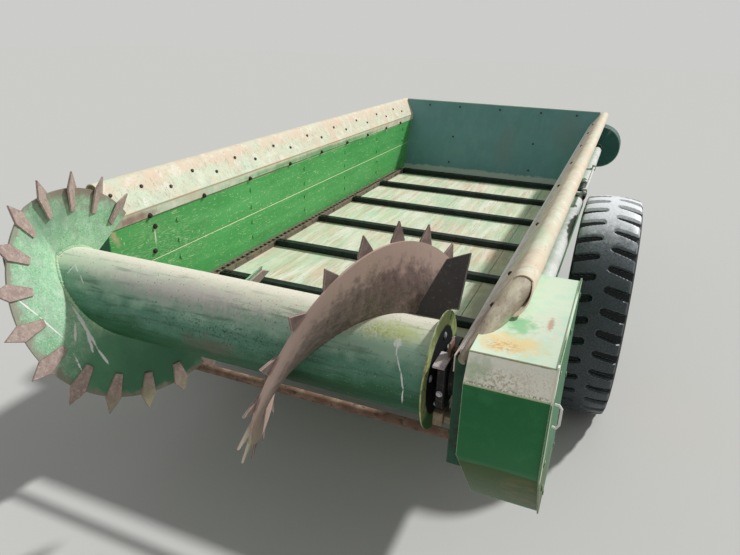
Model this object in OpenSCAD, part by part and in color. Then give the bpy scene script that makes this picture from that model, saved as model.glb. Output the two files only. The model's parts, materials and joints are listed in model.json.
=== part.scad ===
// Manure spreader: box trailer with a chain floor and one cross beater with spiral flights.
// +X is right seen from behind, +Y is forward to the hitch, +Z is up, and the ground is at z = 0.

/* [Load box] */
// Clear width between the side walls
inner_w = 1276; // [1200:1:1350]
// Thickness of the wall planks
plank_t = 35; // [28:1:40]
// Height of the floor's upper face
floor_z = 584; // [560:1:620]
// Thickness of the floor boards
floor_t = 25; // [18:1:30]
// Number of floor boards side by side
floor_board_n = 6; // [4:1:9]
// Height of the joint between the two planks of a wall
plank_joint_z = 770; // [740:1:800]
// Height of the wall planks' upper edge
wall_top_z = 965; // [940:1:980]
// Distance from the apron's front shaft forward to the foot of the front panel
panel_gap = 119.667; // [110:0.001:140]
// Forward lean of the front panel, millimetres per millimetre of height
panel_lean = 0.39; // [0.2:0.01:0.5]
// Height of the front panel's upper edge
panel_top_z = 1076; // [1060:1:1100]
// Sheet thickness of the front panel
panel_t = 4; // [3:0.5:8]
// Depth of the hem along the front panel's upper edge
panel_hem = 40; // [30:1:50]
// Distance from the beater shaft forward to the rear end of the planks
plank_tail = 180; // [160:1:200]
// Distance from the beater shaft back to the rear end of the side plates
plate_tail = 170; // [150:1:200]
// Height of the side plates' rear lower corner
plate_corner_z = 700; // [660:1:740]
// Sheet thickness of the side plates
plate_t = 6; // [4:0.5:8]

/* [Flare] */
// Depth of the flare's upright strip against the plank
flare_strip_h = 37; // [30:1:60]
// Outward reach from the wall's inner face to the roll's centre
flare_out = 85; // [70:1:100]
// Height of the roll's centre
flare_roll_z = 1048; // [1035:1:1065]
// Radius of the rolled edge
flare_roll_r = 28; // [22:1:32]
// Sheet thickness of the flare
flare_t = 3; // [2:0.5:5]
// Distance from the beater shaft forward to the right roll's rear end
flare_right_start = 62; // [40:1:90]
// Distance from the beater shaft forward to the left roll's rear end
flare_left_start = 217; // [190:1:240]
// Distance from the beater shaft forward to the left flare's rear end at the fold
flare_left_foot = 138; // [120:1:160]
// Radius of the right flare's rear tail where it ends at the side plate
flare_tail_r = 9; // [6:1:12]

/* [Frame] */
// Height of the side rails
rail_h = 119; // [100:1:130]
// Width of the side rails' flanges
rail_w = 50; // [40:1:60]
// Thickness of the rails' steel
rail_t = 6; // [5:0.5:8]
// Distance from the beater shaft forward to the rear end of the rails
rail_tail = 260; // [240:1:300]
// Height of the cross members under the floor
cross_h = 36; // [25:1:38]
// Length of the cross members along the box
cross_len = 50; // [40:1:70]
// Number of cross members
cross_n = 6; // [4:1:8]
// Number of stakes on each side
stake_n = 6; // [4:1:8]
// Distance from the beater shaft forward to the first stake
stake_y = 520; // [480:1:600]
// Width of the side stakes
stake_w = 50; // [40:1:60]
// Thickness of the side stakes
stake_t = 8; // [6:1:10]

/* [Apron] */
// Number of slats round the loop, even
slat_n = 12; // [10:2:14]
// Distance from the beater shaft forward to the apron's rear shaft
apron_rear_y = 420; // [400:1:440]
// Distance from the beater shaft forward to the first slat
slat_y = 711; // [690:1:730]
// Slat spacing along the chain
slat_pitch = 449; // [430:1:460]
// Number of chain links from slat to slat
slat_links = 12; // [11:1:13]
// Number of teeth of a chain sprocket
sprocket_n = 8; // [8:1:8]
// Width of a slat along the chain
slat_w = 40; // [30:1:50]
// Height of a slat above the floor
slat_h = 28; // [22:1:34]
// Width of the chain
chain_w = 40; // [30:1:44]
// Thickness of the chain
chain_h = 24; // [20:1:26]
// Width of the bars that a chain link is made of
chain_bar = 9; // [7:1:10]
// Diameter of the apron's shafts
apron_shaft_d = 36; // [30:1:42]
// Distance from the beater shaft forward to the tie pipe
tie_pipe_y = 236; // [220:1:245]
// Height of the tie pipe
tie_pipe_z = 463; // [460:1:480]
// Diameter of the tie pipe
tie_pipe_d = 30; // [25:1:34]

/* [Beater] */
// Height of the beater shaft
beater_z = 824; // [800:1:850]
// Outside diameter of the drum
drum_d = 233; // [200:1:260]
// Wall thickness of the drum
drum_t = 5; // [4:0.5:8]
// Gap between the left side plate and the drum
drum_gap_left = 26; // [22:1:40]
// Gap between the right side plate and the drum
drum_gap_right = 74; // [60:1:90]
// Diameter of the drum's right end disc
end_disc_d = 290; // [270:1:310]
// Diameter of the beater shaft
beater_shaft_d = 44; // [36:1:50]
// Radius of the flights' rim
flight_r = 295; // [280:1:310]
// Thickness of the flights' sheet
flight_t = 6; // [5:0.5:8]
// Sideways run of a flight in one turn
flight_lead = 702; // [650:1:750]
// Distance from the left wall to its flight where that points to the rear
flight_left_in = 151; // [140:1:160]
// Distance from the right wall to its flight where that points to the rear
flight_right_in = 395; // [380:1:410]
// Gap between a side plate and the middle of the flight's sheet beside it
flight_wall_gap = 20; // [18:1:30]
// Radius of the teeth's tips
tooth_tip_r = 345; // [335:1:355]
// Angle between teeth
tooth_step = 20; // [15:1:30]
// Width of a tooth
tooth_w = 62; // [50:1:80]
// Depth of a tooth's leg below the flight's rim
tooth_leg = 70; // [50:1:80]
// Thickness of a tooth
tooth_t = 6; // [5:0.5:8]

/* [Drive] */
// Height of the side shaft
line_z = 815; // [800:1:830]
// Distance from the wall's outer face to the side shaft
line_out = 43; // [42:0.5:46]
// Diameter of the side shaft
line_d = 35; // [30:1:38]
// Outside diameter of the shaft's shields
shield_d = 55; // [52:1:60]
// Wall thickness of the shields
shield_t = 3; // [2:0.5:4]
// Distance from the beater shaft forward to the shaft's hanger
hanger_y = 1955; // [1920:1:2000]
// Length of the hanger
hanger_len = 60; // [50:1:80]
// Gap between the rear shield and the hanger
shield_rear_gap = 136; // [110:1:160]
// Gap between the hanger and the front shield
shield_front_gap = 177; // [150:1:200]
// Gap between the front shield and the chain case
shield_case_gap = 167; // [140:1:190]
// Width of the drive housing
housing_w = 169; // [160:1:180]
// Distance from the beater shaft back to the housing's rear face
housing_tail = 242; // [230:1:260]
// Distance from the beater shaft forward to the housing's front face
housing_nose = 248; // [230:1:260]
// Height of the housing's top
housing_top = 1012; // [990:1:1040]
// Height of the housing's lower edge
housing_low = 504; // [480:1:540]
// Height of the bevel behind the housing's top
housing_bevel = 56; // [40:1:70]
// Height of the housing's rear face
housing_rear_h = 170; // [150:1:200]
// Height of the lip round the housing's outer face
housing_lip = 6; // [4:1:8]
// Sheet thickness of the housings
housing_t = 4; // [3:0.5:6]
// Radius of the front chain case round the side shaft
case_r = 143; // [130:1:150]
// Radius of the front chain case round the input shaft
case_low_r = 105; // [90:1:120]
// Depth of the front chain case
case_w = 160; // [120:1:180]
// Distance from the front panel's foot forward to the chain case
case_out = 350; // [340:1:400]
// Length of the drive shaft in front of the chain case
pto_len = 820; // [700:10:900]

/* [Wheels] */
// Outside diameter of the tyres
tyre_d = 950; // [930:1:970]
// Section width of the tyres
tyre_w = 230; // [220:1:240]
// Gap between the side shaft's shields and the tyre
tyre_gap = 28; // [20:1:40]
// Number of tread slots on each side of a tyre
slot_n = 36; // [30:1:40]
// Width of a tread slot
slot_w = 27; // [20:1:30]
// Depth of a tread slot
slot_h = 18; // [12:1:22]
// Width of the plain band between the tread slots
slot_gap = 34; // [24:1:44]
// Slant of the tread slots in degrees
slot_slant = 21; // [15:1:25]
// Distance from the beater shaft forward to the wheels
wheel_y = 1385; // [1300:1:1420]
// Rim diameter at the tyre's beads
rim_d = 508; // [500:1:520]
// Diameter of the wheel spindles
spindle_d = 50; // [44:1:56]
// Size of the square axle tube
axle_a = 80; // [70:1:90]

/* [Tongue and jack] */
// Distance from the front panel's foot forward to the hitch pin
hitch_out = 1516; // [1450:1:1600]
// Height of the hitch's middle
hitch_z = 455; // [445:1:480]
// Diameter of the hitch pin's bore
hitch_bore_d = 33; // [28:1:36]
// Height of a tongue beam
tongue_h = 100; // [80:1:110]
// Width of a tongue beam
tongue_w = 50; // [40:1:60]
// Thickness of the plates that lie across the tongue
tie_t = 10; // [6:1:12]
// Distance from the front panel's foot forward to the jack
jack_front = 966; // [900:1:1050]
// Outside diameter of the jack's tube
jack_tube_d = 60; // [54:1:70]
// Travel of the jack's leg
jack_travel = 300; // [250:10:320]

/* [Fits] */
// Gap between pieces that turn or slide on each other
run_gap = 0.3; // [0.2:0.05:0.5]
// Gap between sheets that meet without a joint
sheet_gap = 0.5; // [0.3:0.1:1]

/* [Hidden] */
$fn = 48;

hitch_eye_r = 45;
chain_pitch = slat_pitch / slat_links;
sprocket_r = sprocket_n * chain_pitch / (2 * PI);
sprocket_t = chain_w / 2 - chain_bar;
apron_run = (slat_n * slat_pitch - 2 * PI * sprocket_r) / 2;
panel_foot_y = apron_rear_y + apron_run + panel_gap;
hitch_pin_y = panel_foot_y + hitch_out;
// The beater shaft's place puts the origin at the middle of the overall length.
beater_y = -(hitch_pin_y + hitch_eye_r - tooth_tip_r) / 2;
wall_in = inner_w / 2;
wall_out = wall_in + plank_t;
floor_low = floor_z - floor_t;
rail_low = floor_low - rail_h;
tail_y = beater_y - plate_tail;
panel_y = beater_y + panel_foot_y;
fold_z = wall_top_z + 4;
flare_roll_x = wall_in + flare_out;
wall_front = 40;
rail_front_y = panel_y + 30;
wheel_z = tyre_d / 2;
line_x = wall_out + line_out;
tyre_x = line_x + shield_d / 2 + tyre_gap + tyre_w / 2;
apron_y0 = beater_y + apron_rear_y;
apron_y1 = apron_y0 + apron_run;
apron_z = floor_z + run_gap + chain_h / 2 - sprocket_r;
chain_x = wall_in - 4 - chain_w / 2;
slat_half = chain_x - chain_w / 2;
case_y = panel_y + case_out;
hanger_y0 = beater_y + hanger_y - hanger_len / 2;
hanger_y1 = hanger_y0 + hanger_len;
bearing_len = 40;
end_disc_t = 4;
web_t = 12;
gear_x = wall_out + 20;
drum_x0 = drum_gap_left - wall_in;
drum_x1 = wall_in - drum_gap_right;
gear_y = 70;
shaft_in = 30;
housing_y0 = beater_y - housing_tail;
housing_y1 = beater_y + housing_nose;
hitch_y = beater_y + hitch_pin_y;
beam_len = 60;
clevis_len = 120;
tongue_y0 = rail_front_y + beam_len;
tongue_y1 = hitch_y - clevis_len;
tongue_x0 = 480;
tongue_x1 = 42 + tongue_w / 2;
tongue_turn = atan2(tongue_x0 - tongue_x1, tongue_y1 - tongue_y0);
tongue_top = rail_low + tongue_h;
tie_len = 40;
pto_z = tongue_top + tie_t + case_low_r;
joint_len = 60;
jack_out = 45;
jack_low = 345;
jack_leg_h = 500;
jack_wall = 5;
case_arm_h = 110;
spindle_out = 60;
bead_in = 35;

function panel_at(z) = panel_y + (z - floor_z) * panel_lean;

// The flare's slanted sheet starts at flare_foot and meets the roll at flare_edge.
flare_roll = [flare_roll_x, flare_roll_z];
flare_foot = [wall_in - flare_t, fold_z + flare_t / 2];
flare_slant = atan2(flare_roll[1] - flare_foot[1], flare_roll[0] - flare_foot[0])
    + asin(flare_roll_r / norm(flare_roll - flare_foot));
flare_edge = flare_roll + flare_roll_r * [-sin(flare_slant), cos(flare_slant)];
flare_roll_end = flare_slant - 222;

// Inner face of the flare's slanted sheet at height z.
function flare_face_x(z) = flare_foot[0] + (z - flare_foot[1]) / tan(flare_slant);

// Points of a circle from angle a0 to a1, n steps.
function arc(c, r, a0, a1, n) =
    [for (i = [0 : n]) let (a = a0 + (a1 - a0) * i / n) c + r * [cos(a), sin(a)]];

// Distance of a tongue beam's middle from the centre line.
function tongue_x(y) = tongue_x0 - (y - tongue_y0) * tan(tongue_turn);

// Mirrors a piece that is drawn on the right to the left.
module on_side(side) {
    mirror([side < 0 ? 1 : 0, 0, 0]) children();
}

// Extrudes a Y-Z outline along X from x0.
module side_sheet(x0, t) {
    translate([x0, 0, 0]) rotate([90, 0, 90]) linear_extrude(t) children();
}

// Extrudes an X-Z outline along Y from y0.
module cross_sheet(y0, t) {
    translate([0, y0 + t, 0]) rotate([90, 0, 0]) linear_extrude(t) children();
}

module rod_x(x0, x1, y, z, d) {
    translate([x0, y, z]) rotate([0, 90, 0]) cylinder(h = x1 - x0, d = d);
}

module rod_y(x, y0, y1, z, d) {
    translate([x, y0, z]) rotate([-90, 0, 0]) cylinder(h = y1 - y0, d = d);
}

module block(x0, x1, y0, y1, z0, z1) {
    translate([x0, y0, z0]) cube([x1 - x0, y1 - y0, z1 - z0]);
}

// Frame

// Holes for the ends of the apron's shafts.
module shaft_bores() {
    for (y = [apron_y0, apron_y1])
        rod_x(wall_in - 1, wall_out + 20, y, apron_z, apron_shaft_d + 2 * run_gap);
}

module rail(side) {
    y0 = beater_y + rail_tail;
    color("darkgreen") on_side(side)
        difference() {
            block(wall_in, wall_in + rail_w, y0, rail_front_y, rail_low, floor_low);
            block(wall_in + rail_t, wall_in + rail_w + 1, y0 - 1, rail_front_y + 1,
                  rail_low + rail_t, floor_low - rail_t);
            shaft_bores();
        }
}

module cross_members() {
    margin = 120;
    first = apron_y0 + margin;
    step = (apron_y1 - margin - first) / (cross_n - 1);
    color("darkgreen")
        for (i = [0 : cross_n - 1])
            block(-wall_in, wall_in, first + i * step - cross_len / 2,
                  first + i * step + cross_len / 2, floor_low - cross_h, floor_low);
}

module axle() {
    y = beater_y + wheel_y;
    end_x = wall_in + rail_w + 18;
    end_t = 16;
    end_half = 60;
    end_high = wheel_z + 45;
    color("darkgreen") {
        block(-end_x, end_x, y - axle_a / 2, y + axle_a / 2, rail_low - axle_a, rail_low);
        for (side = [-1, 1])
            on_side(side) {
                block(end_x, end_x + end_t, y - end_half, y + end_half, rail_low - axle_a, end_high);
                rod_x(end_x + end_t, tyre_x + spindle_out, y, wheel_z, spindle_d);
            }
    }
}

module front_beam() {
    color("darkgreen")
        block(-wall_in - rail_w, wall_in + rail_w, rail_front_y, rail_front_y + beam_len,
              rail_low, floor_low);
}

// One beam of the tongue, from the front beam to the clevis.
module tongue(side) {
    run = (tongue_y1 - tongue_y0) / cos(tongue_turn);
    color("darkgreen") on_side(side)
        intersection() {
            translate([tongue_x0, tongue_y0, rail_low]) rotate([0, 0, tongue_turn])
                block(-tongue_w / 2, tongue_w / 2, -100, run + 100, 0, tongue_h);
            block(0, 1000, tongue_y0, tongue_y1, 0, 1000);
        }
}

// Plates across the tongue that carry the chain case.
module tongue_ties() {
    color("darkgreen")
        for (y = [case_y + 10, case_y + case_w - 10 - tie_len])
            block(-tongue_x(y), tongue_x(y), y, y + tie_len, tongue_top, tongue_top + tie_t);
}

module hitch_clevis() {
    ear_t = 16;
    ear_gap = 50;
    back_t = 25;
    low = hitch_z - ear_gap / 2 - ear_t;
    half = tongue_x1 + tongue_w / 2 + 6;
    color("dimgray")
        difference() {
            union() {
                block(-half, half, tongue_y1, tongue_y1 + back_t, low, tongue_top);
                for (z = [low, hitch_z + ear_gap / 2]) {
                    block(-hitch_eye_r, hitch_eye_r, tongue_y1 + back_t - 5, hitch_y, z, z + ear_t);
                    translate([0, hitch_y, z]) cylinder(h = ear_t, r = hitch_eye_r);
                }
            }
            translate([0, hitch_y, hitch_z - 100]) cylinder(h = 200, d = hitch_bore_d);
        }
}

// Load box

module floor_boards() {
    gap = 2;
    first = run_gap - wall_in;
    pitch = (inner_w + gap - 2 * run_gap) / floor_board_n;
    sprocket_gap = sprocket_r + 10;
    color("darkseagreen")
        for (i = [0 : floor_board_n - 1])
            block(first + i * pitch, first + (i + 1) * pitch - gap,
                  apron_y0 + sprocket_gap, apron_y1 - sprocket_gap, floor_low, floor_z);
}

module plank(side, z0, z1) {
    y0 = beater_y + plank_tail;
    color("green") on_side(side)
        difference() {
            side_sheet(wall_in, plank_t)
                polygon([[y0, z0], [panel_at(z0) + wall_front, z0],
                         [panel_at(z1) + wall_front, z1], [y0, z1]]);
            shaft_bores();
        }
}

module stakes(side) {
    first = beater_y + stake_y;
    step = (panel_y - 60 - first) / (stake_n - 1);
    color("darkgreen") on_side(side)
        for (i = [0 : stake_n - 1])
            block(wall_out, wall_out + stake_t, first + i * step - stake_w / 2,
                  first + i * step + stake_w / 2, floor_low, wall_top_z);
}

// Section of the flare: upright strip, slanted sheet and rolled edge.
module flare_section() {
    low = fold_z - flare_strip_h;
    polygon(concat([[wall_in, low], [wall_in - flare_t, low], flare_foot],
                   arc(flare_roll, flare_roll_r, flare_slant + 90, flare_roll_end, 30),
                   arc(flare_roll, flare_roll_r - flare_t, flare_roll_end, flare_slant + 90, 30),
                   [[wall_in, fold_z]]));
}

// Tail of the right flare, from inside the roll down to the side plate.
module flare_tail() {
    from = [flare_roll_x - 2, beater_y + flare_right_start + 18, flare_roll_z];
    to = [wall_in + plank_t / 2 - 3, tail_y + 4, fold_z + flare_tail_r];
    run = to - from;
    difference() {
        translate(from) rotate([0, acos(run[2] / norm(run)), atan2(run[1], run[0])])
            cylinder(h = norm(run), r1 = flare_roll_r - flare_t - 1.5, r2 = flare_tail_r);
        block(wall_out - 1, wall_out + 200, tail_y - 50, housing_y1 + 10, fold_z,
              housing_top + sheet_gap);
    }
}

// Flare with its rear end at roll_y on the roll and foot_y on the fold.
module flare(side, roll_y, foot_y) {
    y_front = panel_at(flare_roll_z) + 30;
    low = fold_z - flare_strip_h - 10;
    high = flare_roll_z + flare_roll_r + 10;
    edge = roll_y > foot_y + 200 ? flare_edge[1] : flare_roll_z - flare_roll_r;
    color("rosybrown") on_side(side) {
        intersection() {
            cross_sheet(tail_y - 10, y_front - tail_y + 20) flare_section();
            side_sheet(wall_in - 50, 250)
                polygon([[foot_y, low], [panel_at(low) + wall_front, low],
                         [panel_at(high) + wall_front, high], [roll_y, high],
                         [roll_y, edge], [foot_y, fold_z]]);
        }
        if (side > 0)
            flare_tail();
    }
}

module front_panel() {
    z0 = floor_low;
    strip_low = fold_z - flare_strip_h - sheet_gap;
    corner_z = flare_roll_z - flare_roll_r;
    face = flare_foot[0] - sheet_gap;
    reach = panel_at(panel_top_z) - panel_y + 200;
    right = [[wall_in, z0], [wall_in, strip_low], [face, strip_low], [face, flare_foot[1]],
             [flare_face_x(corner_z) - sheet_gap, corner_z],
             [flare_edge[0] - flare_t, flare_edge[1] - flare_t],
             [flare_edge[0] - flare_t, panel_top_z]];
    left = [for (i = [len(right) - 1 : -1 : 0]) [-right[i][0], right[i][1]]];
    color("darkcyan") {
        intersection() {
            translate([0, panel_at(z0), z0]) rotate([-atan(panel_lean), 0, 0])
                block(-tyre_x, tyre_x, 0, panel_t, -50, panel_top_z);
            cross_sheet(panel_y - 100, reach) polygon(concat(right, left));
        }
        block(-flare_edge[0] + 40, flare_edge[0] - 40, panel_at(panel_top_z) + panel_t / 2,
              panel_at(panel_top_z) + panel_hem, panel_top_z - panel_t, panel_top_z);
    }
}

// Apron

// Y-Z outline of the loop that lies d outside the chain's pitch line.
module loop_outline(d) {
    r = sprocket_r + d;
    translate([apron_y0, apron_z]) circle(r);
    translate([apron_y1, apron_z]) circle(r);
    translate([apron_y0, apron_z - r]) square([apron_run, 2 * r]);
}

// Places a piece at distance s along the loop, from the rear shaft's top.
module on_loop(s) {
    bend = PI * sprocket_r;
    if (s < apron_run)
        translate([0, apron_y0 + s, apron_z + sprocket_r]) children();
    else if (s < apron_run + bend)
        translate([0, apron_y1, apron_z]) rotate([-(s - apron_run) / bend * 180, 0, 0])
            translate([0, 0, sprocket_r]) children();
    else if (s < 2 * apron_run + bend)
        translate([0, apron_y1 - (s - apron_run - bend), apron_z - sprocket_r])
            rotate([180, 0, 0]) children();
    else
        translate([0, apron_y0, apron_z])
            rotate([180 - (s - 2 * apron_run - bend) / bend * 180, 0, 0])
            translate([0, 0, sprocket_r]) children();
}

// Chain of square links: two rows of side bars with a cross bar at each joint.
module apron_chain(side) {
    hole = (chain_pitch - chain_bar) / 2;
    color("dimgray") on_side(side)
        difference() {
            side_sheet(chain_x - chain_w / 2, chain_w)
                difference() {
                    loop_outline(chain_h / 2);
                    loop_outline(-chain_h / 2);
                }
            for (i = [0 : slat_n * slat_links - 1])
                on_loop((i + 0.5) * chain_pitch)
                    block(chain_x - chain_w / 2 + chain_bar, chain_x + chain_w / 2 - chain_bar,
                          -hole, hole, -chain_h, chain_h);
        }
}

module apron_slats() {
    first = slat_y - apron_rear_y;
    color("black")
        for (i = [0 : slat_n - 1])
            on_loop((first + i * slat_pitch) % (slat_n * slat_pitch))
                block(-slat_half, slat_half, -slat_w / 2, slat_w / 2,
                      -chain_h / 2, slat_h - chain_h / 2);
}

// Side outline of a chain sprocket, its teeth between the cross bars.
module sprocket_outline() {
    low = sprocket_r - chain_h / 2;
    high = sprocket_r + chain_h / 2;
    root = chain_pitch / 4;
    tip = root / 2;
    circle(r = low - run_gap);
    for (i = [0 : sprocket_n - 1])
        rotate((i + 0.5) * 360 / sprocket_n)
            polygon([[0, -root], [low, -root], [high, -tip], [high, tip], [low, root], [0, root]]);
}

module apron_shaft(y) {
    color("dimgray") {
        rod_x(-wall_in - 2 * rail_t, wall_in + 2 * rail_t, y, apron_z, apron_shaft_d);
        for (side = [-1, 1])
            translate([0, y, apron_z])
                side_sheet(side * chain_x - sprocket_t / 2, sprocket_t) sprocket_outline();
    }
}

module rear_tie_pipe() {
    color("brown") rod_x(-wall_in, wall_in, beater_y + tie_pipe_y, tie_pipe_z, tie_pipe_d);
}

// Beater

// Side plate behind the planks, a tray of sheet with its flanges outward. The beater's bearing
// stands on it from bearing_in inside the wall to bearing_out outside the sheet.
module beater_plate(side, bearing_in, bearing_out) {
    rail_y = beater_y + rail_tail;
    plank_y = beater_y + plank_tail;
    outline = [[tail_y, wall_top_z], [tail_y, plate_corner_z], [plank_y, rail_low], [rail_y, rail_low],
               [rail_y, floor_low], [plank_y, floor_low], [plank_y, wall_top_z]];
    flange_r = 65;
    flange_t = 8;
    color("darkgreen") on_side(side)
        difference() {
            union() {
                difference() {
                    side_sheet(wall_in, plank_t) polygon(outline);
                    side_sheet(wall_in + plate_t, plank_t) offset(delta = -plate_t) polygon(outline);
                }
                rod_x(wall_in - bearing_in, wall_in + plate_t + bearing_out, beater_y, beater_z,
                      2 * beater_shaft_d);
                block(wall_in - min(bearing_in, flange_t), wall_in + plate_t + min(bearing_out, flange_t),
                      beater_y - flange_r, beater_y + flange_r,
                      beater_z - flange_r, beater_z + flange_r);
            }
            rod_x(wall_in - 100, wall_out + 100, beater_y, beater_z, beater_shaft_d + 2 * run_gap);
        }
}

module beater_drum() {
    color("seagreen") {
        difference() {
            rod_x(drum_x0, drum_x1, beater_y, beater_z, drum_d);
            rod_x(drum_x0 - 1, drum_x1 + 1, beater_y, beater_z, drum_d - 2 * drum_t);
        }
        difference() {
            rod_x(drum_x1 - end_disc_t, drum_x1, beater_y, beater_z, end_disc_d);
            rod_x(drum_x1 - 10, drum_x1 + 1, beater_y, beater_z, beater_shaft_d + 1);
        }
    }
}

module beater_shaft() {
    color("dimgray") {
        rod_x(-wall_in - plate_t - bearing_len - 6, gear_x - run_gap, beater_y, beater_z,
              beater_shaft_d);
        for (x = [drum_x0 + 2, drum_x1 - end_disc_t - web_t])
            rod_x(x, x + web_t, beater_y, beater_z, drum_d - 2 * drum_t);
    }
}

// Flights: place at angle 0, millimetres per degree, first and last angle, angle of a tooth.
// Angle 0 points to the rear, 90 up.
FLIGHT_X = 0;
FLIGHT_LEAD = 1;
FLIGHT_FROM = 2;
FLIGHT_TO = 3;
FLIGHT_TOOTH = 4;
flight_left = [flight_left_in - wall_in, -flight_lead / 360, -188, 147, -1];
flight_right = [wall_in - flight_right_in, flight_lead / 360, -164, 145, -3];
flight_limit = wall_in - flight_wall_gap;

function polar_yz(r, a) = [beater_y - r * cos(a), beater_z + r * sin(a)];

function flight_x(f, a) =
    max(-flight_limit, min(flight_limit, f[FLIGHT_X] + f[FLIGHT_LEAD] * a));

module flight_sheet(f) {
    steps = ceil((f[FLIGHT_TO] - f[FLIGHT_FROM]) / 6);
    step = (f[FLIGHT_TO] - f[FLIGHT_FROM]) / steps;
    r_in = (drum_d / 2 + 0.1) / cos(step / 2);
    ring = [[-0.5, r_in], [0.5, r_in], [0.5, flight_r], [-0.5, flight_r]];
    points = [for (i = [0 : steps]) let (a = f[FLIGHT_FROM] + i * step)
                  for (c = ring) concat([flight_x(f, a) + c[0] * flight_t], polar_yz(c[1], a))];
    // Both faces are split along the same diagonal, which keeps the sheet's thickness.
    sides = [for (i = [0 : steps - 1]) for (j = [0 : 3])
                 let (a = 4 * i + j, b = 4 * i + (j + 1) % 4)
                     for (tri = j == 3 ? [[a, b, a + 4], [b, b + 4, a + 4]]
                                       : [[a, b, b + 4], [a, b + 4, a + 4]]) tri];
    last = 4 * steps;
    polyhedron(points, concat(sides, [[3, 2, 1], [3, 1, 0],
               [last, last + 1, last + 2], [last, last + 2, last + 3]]));
}

module flight_teeth(f, face) {
    lead = atan(f[FLIGHT_LEAD] * 180 / PI / flight_r);
    first = ceil((f[FLIGHT_FROM] + 7 - f[FLIGHT_TOOTH]) / tooth_step);
    last = floor((f[FLIGHT_TO] - 7 - f[FLIGHT_TOOTH]) / tooth_step);
    reach = tooth_tip_r - flight_r;
    for (k = [first : last]) {
        a = k * tooth_step + f[FLIGHT_TOOTH];
        turn = abs(flight_x(f, a)) < flight_limit ? lead : 0;
        translate([flight_x(f, a), beater_y, beater_z]) rotate([90 - a, 0, 0])
            translate([0, 0, flight_r]) rotate([0, 0, -turn])
            translate([face * (flight_t / 2 - 1), 0, 0]) on_side(face)
            side_sheet(0, tooth_t)
                polygon([[0, reach], [tooth_w / 2, 5], [tooth_w / 5, -tooth_leg],
                         [-tooth_w / 5, -tooth_leg], [-tooth_w / 2, 5]]);
    }
}

// Radial blade that ends the right flight, cut to pass over the end disc.
module end_blade(f) {
    blade_t = 8;
    low = drum_d / 2 + 0.2;
    disc_r = end_disc_d / 2;
    translate([0, beater_y, beater_z]) rotate([90 - f[FLIGHT_TO], 0, 0])
        cross_sheet(-blade_t / 2, blade_t)
            polygon([[drum_x1 - 108, low], [drum_x1 - 64, flight_r + 20],
                     [drum_x1 - 14, tooth_tip_r], [drum_x1 + 5, disc_r + 15],
                     [drum_x1 - 8, disc_r + 3], [drum_x1 - 19, low]]);
}

module beater_flight(f, face) {
    color("darkseagreen") {
        flight_sheet(f);
        flight_teeth(f, face);
        if (face < 0)
            end_blade(f);
    }
}

// Drive

// Side outline of the drive housing in Y-Z: bevelled behind the top, slanted below.
housing_edge_z = housing_top - housing_bevel;
housing_outline = [[housing_y1, housing_top], [housing_y0 + 31, housing_top],
                   [housing_y0, housing_edge_z], [housing_y0, housing_edge_z - housing_rear_h],
                   [beater_y - 16, housing_low], [housing_y1, housing_low]];

module drive_housing() {
    color("green")
        difference() {
            union() {
                side_sheet(wall_out, housing_w) polygon(housing_outline);
                side_sheet(wall_out + housing_w - housing_t, housing_t)
                    offset(delta = housing_lip) polygon(housing_outline);
            }
            side_sheet(wall_out - 1, housing_w - housing_t + 1)
                offset(delta = -housing_t) polygon(housing_outline);
            rod_y(line_x, housing_y1 - 10, housing_y1 + 10, line_z, line_d + 2 * run_gap);
        }
}

// Bevel gear case on the right side plate, where the side shaft meets the beater shaft.
module gear_case() {
    y0 = beater_y + gear_y - shaft_in;
    color("dimgray")
        difference() {
            block(wall_in + plate_t + 8, line_x + 50, beater_y - gear_y, beater_y + gear_y,
                  beater_z - gear_y, beater_z + gear_y);
            rod_x(wall_in, gear_x, beater_y, beater_z, beater_shaft_d + 2 * run_gap);
            rod_y(line_x, y0 - run_gap, beater_y + gear_y + 1, line_z, line_d + 2 * run_gap);
        }
}

// Tube round the side shaft, with a ring at each end that rides on the shaft.
module shield(y0, y1) {
    ring = 8;
    color("gainsboro")
        difference() {
            rod_y(line_x, y0, y1, line_z, shield_d);
            rod_y(line_x, y0 + ring, y1 - ring, line_z, shield_d - 2 * shield_t);
            rod_y(line_x, y0 - 1, y1 + 1, line_z, line_d + 2 * run_gap);
        }
}

module shaft_hanger() {
    r = line_d / 2 + 15;
    color("dimgray")
        difference() {
            union() {
                block(wall_out, line_x, hanger_y0, hanger_y1, line_z - r, line_z + r);
                rod_y(line_x, hanger_y0, hanger_y1, line_z, 2 * r);
            }
            rod_y(line_x, hanger_y0 - 1, hanger_y1 + 1, line_z, line_d + 2 * run_gap);
        }
}

module line_shaft() {
    color("dimgray") rod_y(line_x, beater_y + gear_y - shaft_in, case_y + 100, line_z, line_d);
}

// X-Z outline of the front chain case, grown by d.
module case_outline(d) {
    high = [line_x, line_z];
    low = [0, pto_z];
    run = high - low;
    slope = atan2(run[1], run[0]);
    spread = acos((case_low_r - case_r) / norm(run));
    polygon(concat(arc(high, case_r + d, slope - spread, slope + spread, 24),
                   arc(low, case_low_r + d, slope + spread, slope + 360 - spread, 24)));
}

module front_chain_case() {
    color("darkgreen")
        difference() {
            cross_sheet(case_y, case_w) case_outline(0);
            cross_sheet(case_y + housing_t, case_w) case_outline(-housing_t);
            rod_y(line_x, case_y - 1, case_y + 10, line_z, line_d + 2 * run_gap);
        }
}

// Arm along the wall that carries the chain case's high end.
module case_arm() {
    lap = 34;
    color("darkgreen")
        block(wall_out, wall_out + stake_t, panel_y - lap, case_y,
              line_z - case_arm_h, line_z - case_arm_h / 2);
}

module chain_case_cover() {
    y = case_y + case_w;
    color("green")
        difference() {
            cross_sheet(y, housing_t) case_outline(0);
            rod_y(0, y - 1, y + housing_t + 1, pto_z, line_d + 2 * run_gap);
        }
}

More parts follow.
